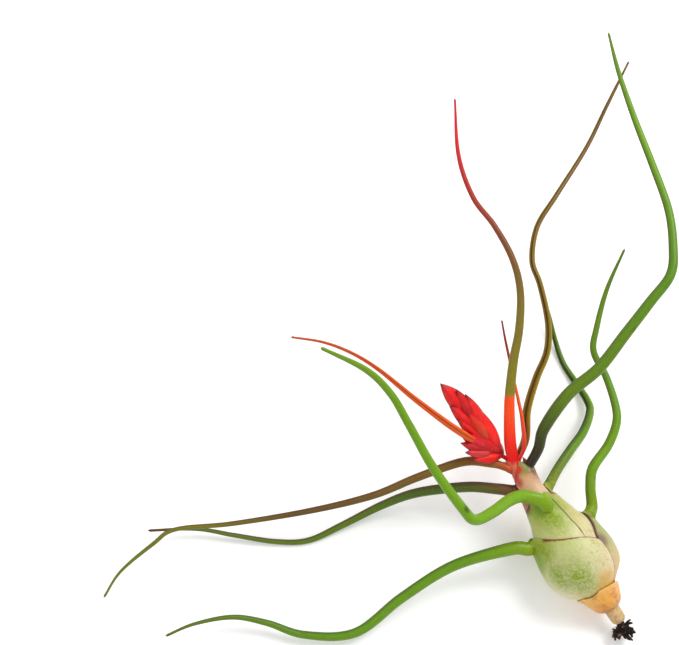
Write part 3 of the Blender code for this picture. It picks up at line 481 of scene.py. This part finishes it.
def cover(leaf, along, angle):
    """How far a leaf's sheath presses down what lies under it: 1 under it, 0 well clear of it."""
    if along < leaf["root"] - COVER_REACH:
        return 0.0
    off = turned(angle, leaf["side"])
    hand = 1 if off > 0 else 0
    radius = between(BULB_OUTLINE, along)
    beyond = math.radians(abs(off) - half_angles(leaf, along)[hand]) * radius
    return 1.0 - ease((beyond / margin_slant(leaf, along, hand) - MARGIN_CLEAR) / MARGIN_RISE)


def sheath_radius(index, along, angle):
    """Outer radius of a leaf's sheath, under all the sheaths that wrap it."""
    leaf = LEAVES[index]
    innermost = leaf["name"] in INNERMOST
    pressed = leaf.get("slack", 0.0)
    pressed += sum(cover(outer, along, angle) for outer in LEAVES[:index]
                   if not (innermost and outer["name"] in INNERMOST))
    wrapped = between(BULB_OUTLINE, along) - LAYER_PITCH * pressed + (SCALE_LIFT if index == 0 else 0.0)
    stem = between(STEM_OUTLINE, leaf["root"]) + GAP + WALL
    radius = min(wrapped, stem + SHEATH_SLOPE * max(0.0, along - leaf["root"]))
    return radius + blade_lift(leaf, along, angle)


def blade_lift(leaf, along, angle):
    """How far a sheath swells off the bulb where its blade begins."""
    if "lift" not in leaf:
        return 0.0
    height, reach = leaf["lift"]
    near = min(1.0, max(0.0, 1.0 - (leaf["armpit"] - along) / reach))
    aside = math.radians(abs(turned(angle, leaf["side"]))) * between(BULB_OUTLINE, along)
    return height * near ** 2 * (1.0 - ease(aside / (LIFT_SPREAD * leaf["widths"][0][1])))


def smooth_path(points, steps):
    """Points on a smooth curve, closer where it bends, with their parts of its length."""
    p = [Vector(q) for q in points]
    p = [2 * p[0] - p[1]] + p + [2 * p[-1] - p[-2]]
    fine = []
    for k in range(1, len(p) - 2):
        for step in range(CURVE_STEPS):
            t = step / CURVE_STEPS
            fine.append(0.5 * (2 * p[k] + (p[k + 1] - p[k - 1]) * t
                               + (2 * p[k - 1] - 5 * p[k] + 4 * p[k + 1] - p[k + 2]) * t ** 2
                               + (3 * p[k] - p[k - 1] - 3 * p[k + 1] + p[k + 2]) * t ** 3))
    fine.append(p[-2])
    length, effort = [0.0], [0.0]
    for k, (a, b) in enumerate(zip(fine, fine[1:])):
        bend = (b - a).angle(a - fine[k - 1]) if k else 0.0
        length.append(length[-1] + (b - a).length)
        effort.append(effort[-1] + (b - a).length + BEND_LENGTH * bend)
    wanted = np.linspace(0.0, effort[-1], steps + 1)
    spaced = [np.interp(wanted, effort, [q[axis] for q in fine]) for axis in range(3)]
    parts = [float(part) / length[-1] for part in np.interp(wanted, effort, length)]
    return [Vector(q) for q in zip(*spaced)], parts, length[-1]


def carried_frames(path, underside):
    """Directions across a path, turned with it and never twisted: the underside and the right side."""
    frames = []
    down = underside
    for k in range(len(path)):
        ahead = (path[min(k + 1, len(path) - 1)] - path[max(k - 1, 0)]).normalized()
        down = (down - down.dot(ahead) * ahead).normalized()
        frames.append((down, ahead.cross(down)))
    return frames


def add_object(name, data):
    thing = bpy.data.objects.new(name, data)
    bpy.context.scene.collection.objects.link(thing)
    return thing


class Skin:
    """A mesh in millimetres whose points carry a colour and the places that its material needs."""

    def __init__(self):
        self.mesh = bmesh.new()
        self.tint = self.mesh.verts.layers.float_color.new("tint")
        self.grain = self.mesh.verts.layers.float_vector.new("grain")
        self.marks = self.mesh.verts.layers.float_vector.new("marks")

    def point(self, place, tint, run=0.0, across=0.0, edge=FAR, mottle=0.0, crease=FAR):
        vert = self.mesh.verts.new(place)
        vert[self.tint] = (*tint, 1.0)
        vert[self.grain] = (run, across, 0.0)
        vert[self.marks] = (edge, mottle, crease)
        return vert

    def stitch(self, row_a, row_b):
        for k in range(len(row_a) - 1):
            self.mesh.faces.new((row_a[k], row_a[k + 1], row_b[k + 1], row_b[k]))

    def stitch_rings(self, rings):
        for a, b in zip(rings, rings[1:]):
            self.stitch(a + a[:1], b + b[:1])

    def enclose(self, rings):
        """Join closed rings in order, with a face over each end."""
        self.mesh.faces.new(rings[0])
        self.stitch_rings(rings)
        self.mesh.faces.new(rings[-1])

    def stitch_to_half(self, row, half):
        """Join a row to one with half as many columns."""
        for k in range(len(half) - 1):
            left, middle, right = row[2 * k:2 * k + 3]
            self.mesh.faces.new((left, middle, half[k]))
            self.mesh.faces.new((middle, right, half[k + 1]))
            self.mesh.faces.new((middle, half[k + 1], half[k]))

    def to_object(self, name, material):
        """Turn the mesh into an object in metres that stands for the part's node of that name."""
        bmesh.ops.recalc_face_normals(self.mesh, faces=self.mesh.faces)
        bmesh.ops.transform(self.mesh, matrix=Matrix.Scale(MM, 4), verts=self.mesh.verts)
        data = bpy.data.meshes.new(name + "_fine")
        self.mesh.to_mesh(data)
        self.mesh.free()
        data.shade_smooth()
        data.set_sharp_from_angle(angle=math.radians(SHARP_ANGLE))
        data.materials.append(material)
        piece = add_object(name + "_fine", data)
        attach(piece, "root")
        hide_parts(name)
        return piece


def row_levels(leaf):
    """Levels of a sheath's rows at its margins, from the root to the blade."""
    margins = leaf["margins"]
    root, shoulder = margins[0][0], margins[1][0]
    first, last = math.ceil((root + ROW_CLEAR) / ROW_STEP), math.floor((shoulder - ROW_CLEAR) / ROW_STEP)
    levels = [root] + [ROW_STEP * k for k in range(first, last + 1)]
    for (a0, left0, right0), (a1, left1, right1) in zip(margins[1:], margins[2:]):
        turn = max(left0 - left1, right0 - right1, (a1 - a0) / ROW_STEP * MARGIN_TURN)
        steps = math.ceil(turn / MARGIN_TURN)
        levels += [a0 + (a1 - a0) * k / steps for k in range(steps)]
    return levels + [margins[-1][0]]


def margin_distance(leaf, along, part, angle_span):
    """Millimetres from a point of the sheath to its nearer free margin."""
    aside = (1.0 - abs(part)) * math.radians(angle_span) * between(BULB_OUTLINE, along)
    return aside / margin_slant(leaf, along, 0)


def distance(along, angle, place, side):
    """Millimetres along the axis and round the bulb from a place on its surface."""
    return along - place, math.radians(turned(angle, side)) * between(BULB_OUTLINE, along)


def mottling(leaf, along, angle):
    """How thick the mottling is, round the blade's base and on the sheath's own patches."""
    centres = [(leaf["armpit"], leaf["side"], leaf["mottle"][1])] + leaf.get("patches", [])
    offsets = [(distance(along, angle, place, side), size) for place, side, size in centres]
    return max(math.exp(-(a / size) ** 2 - (b / size / MOTTLE_ASPECT) ** 2) for (a, b), size in offsets)


def margin_fade(leaf, margin_along):
    """Room that keeps a margin's colour off the last rows, where the sheath turns into the blade."""
    return MARGIN_FADE * ease((margin_along - leaf["margins"][-1][0]) / MARGIN_FADE + 1.0)


def crease_offset(leaf, along, angle):
    """Signed distance to the nearest crease, larger beyond its ends."""
    best = FAR
    for start, end, side in leaf.get("creases", []):
        beyond = max(0.0, start - along, along - end)
        across = distance(along, angle, along, side)[1]
        if abs(across) + beyond < abs(best):
            best = math.copysign(abs(across) + beyond, across)
    return best


def sheath_tint(leaf, along, angle, mottle):
    """A sheath's colour: banded along the axis, warmer on the right, with stains, one of them partly painted
    shade, and mottling.
    """
    tint = shade(leaf["sheath"], along)
    tint = blend(tint, PINK, WARMTH * ease((angle - WARM_FROM) / WARM_SPREAD))
    for place, side, size, colour in leaf.get("stains", []):
        a, b = distance(along, angle, place, side)
        tint = blend(tint, colour, STAIN_STRENGTH * math.exp(-(math.hypot(a, b) / size) ** MARK_HARDNESS))
    return blend(tint, leaf["mottle"][0], MOTTLE_WASH * mottle)


def sheath_rows(skin, index):
    """The outer and inner rows of a sheath, from its root to the blade's armpit."""
    leaf = LEAVES[index]
    top = leaf["margins"][-1][0]
    columns = round(leaf["columns"] * SHEATH_FINENESS)
    outer, inner = [], []
    for margin_along in row_levels(leaf):
        left, right = half_angles(leaf, margin_along)
        climbed = (margin_along - leaf["root"]) / (top - leaf["root"])
        mid_along = margin_along - (top - leaf["armpit"]) * climbed ** ARMPIT_CURVE
        fade = margin_fade(leaf, margin_along) if "route" in leaf else 0.0
        outer_row, inner_row = [], []
        for column in range(-columns, columns + 1):
            part = column / columns
            span = left if column < 0 else right
            angle = leaf["side"] + part * span
            along = mid_along + (margin_along - mid_along) * part ** MARGIN_CURVE
            radius = sheath_radius(index, along, angle)
            thinner = (WALL - MARGIN_WALL) * part ** THINNING
            across = math.radians(part * span) * between(BULB_OUTLINE, along)
            mottle = mottling(leaf, along, angle)
            look = dict(tint=sheath_tint(leaf, along, angle, mottle), run=along, across=across,
                        edge=margin_distance(leaf, along, part, span) + fade, mottle=mottle,
                        crease=crease_offset(leaf, along, angle))
            outer_row.append(skin.point(bulb_point(along, angle, radius - thinner), **look))
            inner_row.append(skin.point(bulb_point(along, angle, radius - WALL), **look))
        outer.append(outer_row)
        inner.append(inner_row)
    return outer, inner


def blade_path(index):
    """Points on the middle of the blade, from just outside its armpit to the tip, and its first underside."""
    leaf = LEAVES[index]
    lean = math.radians(leaf["lean"])
    out = radial(leaf["side"])
    ahead = math.cos(lean) * AXIS + math.sin(lean) * out
    down = math.cos(lean) * out - math.sin(lean) * AXIS
    half_depth = leaf["widths"][0][1] / 2 * leaf.get("depths", ROUND)[0][1]
    armpit = bulb_point(leaf["armpit"], leaf["side"], sheath_radius(index, leaf["armpit"], leaf["side"]))
    start = armpit - half_depth * down + BLADE_START * ahead
    return [start] + leaf["route"], down


def spot_shade(leaf, tint, part, turn, length, radius):
    """A blade's colour with its dark marks."""
    for place, side, size in leaf.get("spots", []):
        round_it = math.radians(turn - side) * radius / (SPOT_ASPECT * size)
        away = math.hypot((part - place) * length / size, round_it)
        tint = blend(tint, DARK, SPOT_STRENGTH * math.exp(-away ** MARK_HARDNESS))
    return tint


def blade_section(skin, leaf, centre, frame, part, length):
    """One closed section of a rolled blade: its round outside and the groove along its top, darkened as
    painted shade.
    """
    down, right = frame
    radius = between(leaf["widths"], part) / 2
    depth = radius * between(leaf.get("depths", ROUND), part)
    middle = shade(leaf["blade"], part)
    fading = math.exp(-part * length / BLADE_MOTTLE) if "mottle" in leaf else 0.0
    run = BLADE_GRAIN + part * length
    ring = []
    for column in range(-BLADE_COLUMNS, BLADE_COLUMNS + 1):
        turn = ROLL_STEP * column
        roll = math.radians(turn)
        rim = ease((abs(turn) - RIM_TURN) / RIM_SPREAD)
        tint = spot_shade(leaf, blend(middle, leaf["edge"], rim), part, turn, length, radius)
        place = centre + depth * math.cos(roll) * down + radius * math.sin(roll) * right
        from_margin = radius * math.radians(ROLL_STEP * BLADE_COLUMNS - abs(turn))
        ring.append(skin.point(place, tint, run=run, across=roll * radius, edge=RIM_MARGIN + from_margin,
                               mottle=fading))
    for across, up in GROOVE:
        place = centre + across * radius * right + up * depth * down
        # the groove takes the edge colour darkened as painted shade
        ring.append(skin.point(place, blend(leaf["edge"], DARK, GROOVE_PAINTED_SHADE), run=run))
    return ring


def blade(skin, points, down, leaf, start_row=None, start_inner=None):
    """A rolled blade through points, joined to the last row of a sheath, or capped where it starts."""
    path, parts, length = smooth_path(points, BLADE_RINGS)
    frames = carried_frames(path, down)
    rings = [blade_section(skin, leaf, path[k], frames[k], parts[k], length) for k in range(BLADE_RINGS)]
    arc = 2 * BLADE_COLUMNS + 1
    if start_row is None:
        skin.mesh.faces.new(rings[0])
    else:
        join_sheath(skin, start_row, start_inner, rings[0][:arc], rings[0][arc:])
    skin.stitch_rings(rings)
    tip = skin.point(path[-1], shade(leaf["blade"], 1.0), run=BLADE_GRAIN + length)
    for a, b in zip(rings[-1], rings[-1][1:] + rings[-1][:1]):
        skin.mesh.faces.new((a, b, tip))


def join_sheath(skin, outer, inner, arc, groove):
    """Join a sheath's last rows to the blade's first section."""
    if len(outer) == len(arc):
        skin.stitch(outer, arc)
    else:
        skin.stitch_to_half(outer, arc)
    middle = len(inner) // 2
    for a, b in zip(inner[:middle + 1], inner[1:middle + 1]):
        skin.mesh.faces.new((a, b, groove[2]))
    for a, b in zip(inner[middle:], inner[middle + 1:]):
        skin.mesh.faces.new((a, b, groove[0]))
    skin.mesh.faces.new((inner[middle], groove[0], groove[1], groove[2]))
    skin.mesh.faces.new((outer[0], arc[0], groove[2], inner[0]))
    skin.mesh.faces.new((inner[-1], groove[0], arc[-1], outer[-1]))


class Graph:
    """A material's nodes, added by calls that give back their outputs."""

    def __init__(self, name):
        self.material = bpy.data.materials.new(name)
        self.material.use_nodes = True
        self.tree = self.material.node_tree
        self.shader = self.tree.nodes["Principled BSDF"]

    def join(self, value, socket):
        if isinstance(value, bpy.types.NodeSocket):
            self.tree.links.new(value, socket)
        elif socket.type == "RGBA":
            socket.default_value = (*value, 1.0)
        else:
            socket.default_value = value

    def finish(self, **inputs):
        """Set the shader's inputs, by name with underscores for spaces."""
        for name, value in inputs.items():
            self.join(value, self.shader.inputs[name.replace("_", " ").title().replace("Ior", "IOR")])
        return self.material

    def node(self, kind, inputs, output=0, **settings):
        """Add a node with its settings and its inputs by name or number, and give one of its outputs."""
        node = self.tree.nodes.new("ShaderNode" + kind)
        for name, value in settings.items():
            setattr(node, name, value)
        for name, value in inputs.items():
            self.join(value, node.inputs[name])
        return node.outputs[output]

    def attribute(self, name, output="Color"):
        return self.node("Attribute", {}, output, attribute_name=name)

    def parts(self, vector):
        return self.node("SeparateXYZ", {0: vector}).node.outputs

    def grain(self):
        return self.attribute("grain", "Vector")

    def marks(self):
        return self.parts(self.attribute("marks", "Vector"))

    def noise(self, place, scale, detail, roughness=0.55):
        look = dict(Vector=place, Scale=scale, Detail=detail, Roughness=roughness)
        return self.node("TexNoise", look, "Fac")

    def surface_noise(self, **look):
        return self.noise(self.node("TexCoord", {}, "Object"), **look)

    def grain_noise(self, stretch, **look):
        """Noise that runs with the leaf."""
        return self.noise(self.node("Mapping", dict(Vector=self.grain(), Scale=stretch)), **look)

    def remap(self, value, low, high, start, end):
        """Value from low to high as start to end, with soft ends."""
        inputs = {"Value": value, "From Min": low, "From Max": high, "To Min": start, "To Max": end}
        return self.node("MapRange", inputs, "Result", interpolation_type="SMOOTHSTEP")

    def math(self, operation, a, b=0.0):
        return self.node("Math", {0: a, 1: b}, operation=operation)

    def mix(self, amount, a, b, kind="MIX"):
        return self.node("Mix", {"Factor": amount, 6: a, 7: b}, 2, data_type="RGBA", blend_type=kind)

    def shaded(self, amount, colour, shadow):
        return self.mix(amount, colour, self.mix(1.0, colour, shadow, "MULTIPLY"))

    def bump(self, height, distance, strength):
        return self.node("Bump", dict(Height=height, Distance=distance, Strength=strength))


def mottled(g, leaf, colour, mottle, blotch):
    """Mottling round the blade's base, and fine brown veins over the bulb."""
    run, _, _ = g.parts(g.grain())
    colour = g.shaded(g.remap(g.surface_noise(**CLOUDS), 0.45, 0.75, 0.0, 0.25), colour, CLOUD_SHADE)
    spread = g.math("MULTIPLY", mottle, g.remap(blotch, 0.42, 0.55, 0.2, 1.0))
    colour = g.mix(spread, colour, leaf["mottle"][0])
    vein = g.math("ABSOLUTE", g.math("SUBTRACT", g.surface_noise(**VEINS), 0.5))
    seen = g.math("MULTIPLY", g.remap(vein, 0.0, 0.01, 0.35, 0.0), g.remap(run, *VEIN_END, 1.0, 0.0))
    return g.mix(seen, colour, VEIN_BROWN)


def lined(g, colour, offset, blotch, ragged, line, tint):
    """A ragged line of a colour where an offset is small."""
    wavy = g.math("ADD", offset, g.remap(blotch, 0.3, 0.7, -ragged, ragged))
    return g.mix(g.remap(wavy, *line, 0.9, 0.0), colour, tint)


def leaf_material(leaf):
    """Living leaf: streaks along it, fine pale scales over it, mottling and a coloured free margin."""
    g = Graph(leaf["name"])
    edge, mottle, crease = g.marks()
    streak = g.grain_noise(**LEAF_STREAKS)
    fleck = g.surface_noise(**FLECKS)
    blotch = g.surface_noise(**BLOTCHES)
    speckle = g.surface_noise(**SPECKLES)
    colour = g.shaded(g.remap(streak, 0.35, 0.7, 0.0, 0.3), g.attribute("tint"), STREAK_SHADE)
    if "mottle" in leaf:
        colour = mottled(g, leaf, colour, mottle, blotch)
    if "margin" in leaf:
        width = leaf.get("margin_width", 0.3)
        colour = lined(g, colour, edge, blotch, 0.12, (0.3 * width, 1.2 * width), leaf["margin"])
    colour = g.shaded(g.remap(speckle, 0.5, 0.7, 0.0, 0.3), colour, SPECKLE_SHADE)
    if "creases" in leaf:
        colour = lined(g, colour, g.math("ABSOLUTE", crease), blotch, 0.08, (0.08, 0.4), CREASE_OLIVE)
    colour = g.mix(g.remap(fleck, 0.55, 0.8, 0.0, 0.08), colour, PALE_SCALE)
    relief = g.math("ADD", g.math("MULTIPLY", streak, 0.5), g.math("MULTIPLY", blotch, 0.4))
    return g.finish(base_color=colour, roughness=g.remap(fleck, 0.3, 0.8, 0.32, 0.48), specular_ior_level=0.3,
                    normal=g.bump(relief, 0.00012, 0.7), **LEAF_DEPTH)


def papery_material(leaf):
    """Dry papery scale: golden, with fibres along it and brown stains."""
    g = Graph(leaf["name"])
    edge, _, _ = g.marks()
    fibre = g.grain_noise(**PAPER_FIBRES)
    stain = g.surface_noise(**PAPER_STAINS)
    colour = g.mix(g.remap(fibre, 0.4, 0.7, 0.0, 0.45), g.attribute("tint"), PAPER_PALE)
    colour = g.mix(g.remap(stain, 0.52, 0.66, 0.0, 0.5), colour, PAPER_STAIN)
    colour = g.mix(g.remap(edge, 0.0, 0.5, 0.5, 0.0), colour, leaf["margin"])
    return g.finish(base_color=colour, roughness=0.38, specular_ior_level=0.5,
                    normal=g.bump(fibre, 0.0002, 0.8), **PAPER_DEPTH)


def bract_material():
    """Glossy red bracts with fine veins and dark thin edges."""
    g = Graph("flower_head")
    edge, _, _ = g.marks()
    vein = g.grain_noise(**BRACT_VEINS)
    cloud = g.surface_noise(**BRACT_CLOUDS)
    colour = g.mix(g.remap(cloud, 0.5, 0.7, 0.0, 0.35), g.attribute("tint"), BRACT_FLUSH)
    colour = g.mix(g.remap(vein, 0.4, 0.7, 0.0, 0.4), colour, BRACT_VEIN)
    colour = g.mix(g.remap(edge, 0.04, 0.34, 0.85, 0.0), colour, BRACT_EDGE)
    return g.finish(base_color=colour, roughness=0.28, specular_ior_level=0.4,
                    normal=g.bump(vein, 0.0002, 0.8), **BRACT_DEPTH)


def bark_material(name, roughness, dark):
    """Dry woody root or stem: fibres, dust, and pits as strong as dark says."""
    g = Graph(name)
    grain = g.surface_noise(**BARK_FIBRES)
    dust = g.surface_noise(**DUST)
    colour = g.mix(g.remap(dust, 0.5, 0.75, 0.0, 0.3), g.attribute("tint"), BARK_DUST)
    colour = g.mix(g.remap(grain, 0.3, 0.55, dark, 0.0), colour, BARK_PIT)
    return g.finish(base_color=colour, roughness=roughness, specular_ior_level=0.3,
                    normal=g.bump(grain, 0.0004, 1.0))


def build_leaf(index):
    leaf = LEAVES[index]
    skin = Skin()
    outer, inner = sheath_rows(skin, index)
    for k in range(len(outer) - 1):
        skin.stitch(outer[k], outer[k + 1])
        skin.stitch(inner[k + 1], inner[k])
        skin.mesh.faces.new((outer[k][-1], inner[k][-1], inner[k + 1][-1], outer[k + 1][-1]))
        skin.mesh.faces.new((inner[k][0], outer[k][0], outer[k + 1][0], inner[k + 1][0]))
    skin.stitch(inner[0], outer[0])
    if "route" in leaf:
        points, down = blade_path(index)
        blade(skin, points, down, leaf, outer[-1], inner[-1])
        material = leaf_material(leaf)
    else:
        skin.stitch(outer[-1], inner[-1])
        material = papery_material(leaf)
    for vert in skin.mesh.verts:
        vert.co.z = max(0.0, vert.co.z)
    skin.to_object(leaf["name"], material)


def build_long_bract():
    skin = Skin()
    blade(skin, LONG_BRACT["route"], -SHOWN_SIDE, LONG_BRACT)
    skin.to_object(LONG_BRACT["name"], leaf_material(LONG_BRACT))


def bract(skin, root, tip, width, depth, colour):
    """One pointed, keeled bract, darker at its base as painted shade."""
    ahead = (tip - root).normalized()
    out = (SHOWN_SIDE - SHOWN_SIDE.dot(ahead) * ahead).normalized()
    across = ahead.cross(out)
    length = (tip - root).length
    # the dark red at the base is painted shade; the dark tip is the bract's own colour
    stops = [(0.0, BRACT_BASE_PAINTED_SHADE), (0.28, colour), (0.8, blend(colour, RED, 0.6)), (0.93, CARMINE), (1.0, DARK)]
    rings = []
    for k in range(BRACT_RINGS):
        part = k / (BRACT_RINGS - 1)
        share = between(BRACT_BULGE, part)
        tint = shade(stops, part)
        ring = []
        for side in range(BRACT_SIDES):
            turn = 2 * math.pi * side / BRACT_SIDES
            keel = 1.0 + KEEL * max(0.0, math.sin(turn)) ** KEEL_SHARPNESS
            rise = depth / 2 * keel * math.sin(turn) * abs(math.sin(turn)) ** BRACT_FLATNESS
            aside = width / 2 * math.cos(turn)
            ring.append(skin.point(root.lerp(tip, part) + (aside * across + rise * out) * share, tint,
                                   run=part * length, across=aside,
                                   edge=width / 2 * share * (1.0 - abs(math.cos(turn)))))
        rings.append(ring)
    skin.enclose(rings)


def tube(skin, points, radii, tint, sides):
    """A closed round tube through points."""
    turns = [2 * math.pi * k / sides for k in range(sides)]
    rings = []
    for centre, (down, right), radius in zip(points, carried_frames(points, TUBE_UNDERSIDE), radii):
        rings.append([skin.point(centre + radius * (math.cos(turn) * down + math.sin(turn) * right), tint)
                      for turn in turns])
    skin.enclose(rings)


def build_flower_head():
    skin = Skin()
    for root, tip, width, depth, colour in BRACTS:
        bract(skin, Vector(root), Vector(tip), width, depth, colour)
    for line in (STALK, SIDE_STALK):
        path, _, _ = smooth_path(line, STALK_STEPS)
        tube(skin, path, [STALK_RADIUS] * len(path), SCARLET, STALK_SIDES)
    skin.to_object("flower_head", bract_material())


def build_stem():
    skin = Skin()
    levels = [float(a) for a in np.linspace(STEM_OUTLINE[0][0], STEM_OUTLINE[-1][0], STEM_RINGS)]
    points = [bulb_point(a, 0.0, 0.0) for a in levels]
    tube(skin, points, [between(STEM_OUTLINE, a) for a in levels], STEM_TAN, STEM_SIDES)
    skin.to_object("stem", bark_material("stem", 0.85, 0.45))


def root_core(skin):
    """The dark core of the knot."""
    middle = (CORE_RINGS - 1) // 2
    points = [KNOT_CENTRE - CORE_REACH * KNOT_RADIUS * AXIS * (1 - k / middle) for k in range(CORE_RINGS)]
    parts = [(k + CORE_END) / (CORE_RINGS - 1 + 2 * CORE_END) for k in range(CORE_RINGS)]
    tube(skin, points, [KNOT_RADIUS * math.sin(math.pi * part) for part in parts], CORE_TINT, CORE_SIDES)


def root_end(skin, draw, way):
    """One thin bent root that starts in the core."""
    length = draw.uniform(*ROOT_LENGTH)
    bend = Vector([draw.uniform(-1, 1) for _ in range(3)]) * ROOT_CURL * length
    start = KNOT_CENTRE + ROOT_START * KNOT_RADIUS * way
    parts = [k / ROOT_STEPS for k in range(ROOT_STEPS + 1)]
    path = [start + length * t * way + bend * t * (1 - t) for t in parts]
    path = [Vector((p.x, p.y, max(p.z, ROOT_FLOOR))) for p in path]
    radius = draw.uniform(*ROOT_RADIUS)
    tube(skin, path, [radius * (1 - ROOT_TAPER * t) for t in parts], draw.choice(ROOT_TINTS), ROOT_SIDES)


def build_root_knot():
    """A tangle of thin dry roots round a dark core."""
    draw = random.Random(ROOT_SEED)
    skin = Skin()
    root_core(skin)
    made = 0
    while made < ROOT_COUNT:
        way = Vector([draw.uniform(-1, 1) for _ in range(3)]).normalized()
        if way.dot(AXIS) <= ROOT_BACK:
            root_end(skin, draw, way)
            made += 1
    skin.to_object("root_knot", bark_material("root_knot", 0.9, 0.8))


def build_floor():
    bpy.ops.mesh.primitive_plane_add(size=FLOOR_WIDTH, location=(0.0, 0.0, -FLOOR_DROP))
    floor = bpy.context.object
    floor.name = "floor"
    floor.data.materials.append(Graph("floor").finish(
        base_color=FLOOR_COLOUR, roughness=0.9, specular_ior_level=0.2, emission_color=WHITE,
        emission_strength=FLOOR_GLOW))


def area_light(name, place, size, power):
    data = bpy.data.lights.new(name, "AREA")
    data.size = size
    data.energy = power
    light = add_object(name, data)
    light.location = place
    light.rotation_euler = (Vector(LIGHT_AIM) - Vector(place)).to_track_quat("-Z", "Y").to_euler()


def build_light():
    world = bpy.data.worlds.new("studio")
    world.use_nodes = True
    background = world.node_tree.nodes["Background"]
    background.inputs["Color"].default_value = (*WHITE, 1.0)
    background.inputs["Strength"].default_value = SKY_STRENGTH
    bpy.context.scene.world = world
    bpy.context.scene.view_settings.view_transform = "Standard"   # keeps the pale floor white
    for name, place, size, power in LIGHTS:
        area_light(name, place, size, power)


def build_camera():
    data = bpy.data.cameras.new("camera")
    data.lens = CAMERA_LENS
    data.sensor_width = CAMERA_SENSOR
    data.clip_start = 0.01
    camera = add_object("camera", data)
    camera.location = CAMERA_PLACE
    camera.rotation_euler = (math.radians(CAMERA_TILT), 0.0, 0.0)
    bpy.context.scene.camera = camera


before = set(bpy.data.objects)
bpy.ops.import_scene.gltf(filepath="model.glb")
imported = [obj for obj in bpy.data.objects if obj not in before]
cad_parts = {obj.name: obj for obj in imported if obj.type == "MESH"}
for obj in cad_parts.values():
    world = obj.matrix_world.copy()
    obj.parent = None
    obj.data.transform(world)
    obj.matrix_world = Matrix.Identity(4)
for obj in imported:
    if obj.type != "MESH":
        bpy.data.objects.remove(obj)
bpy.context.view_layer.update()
build_camera()
for index in range(len(LEAVES)):
    build_leaf(index)
build_long_bract()
build_flower_head()
build_stem()
build_root_knot()
build_floor()
build_light()
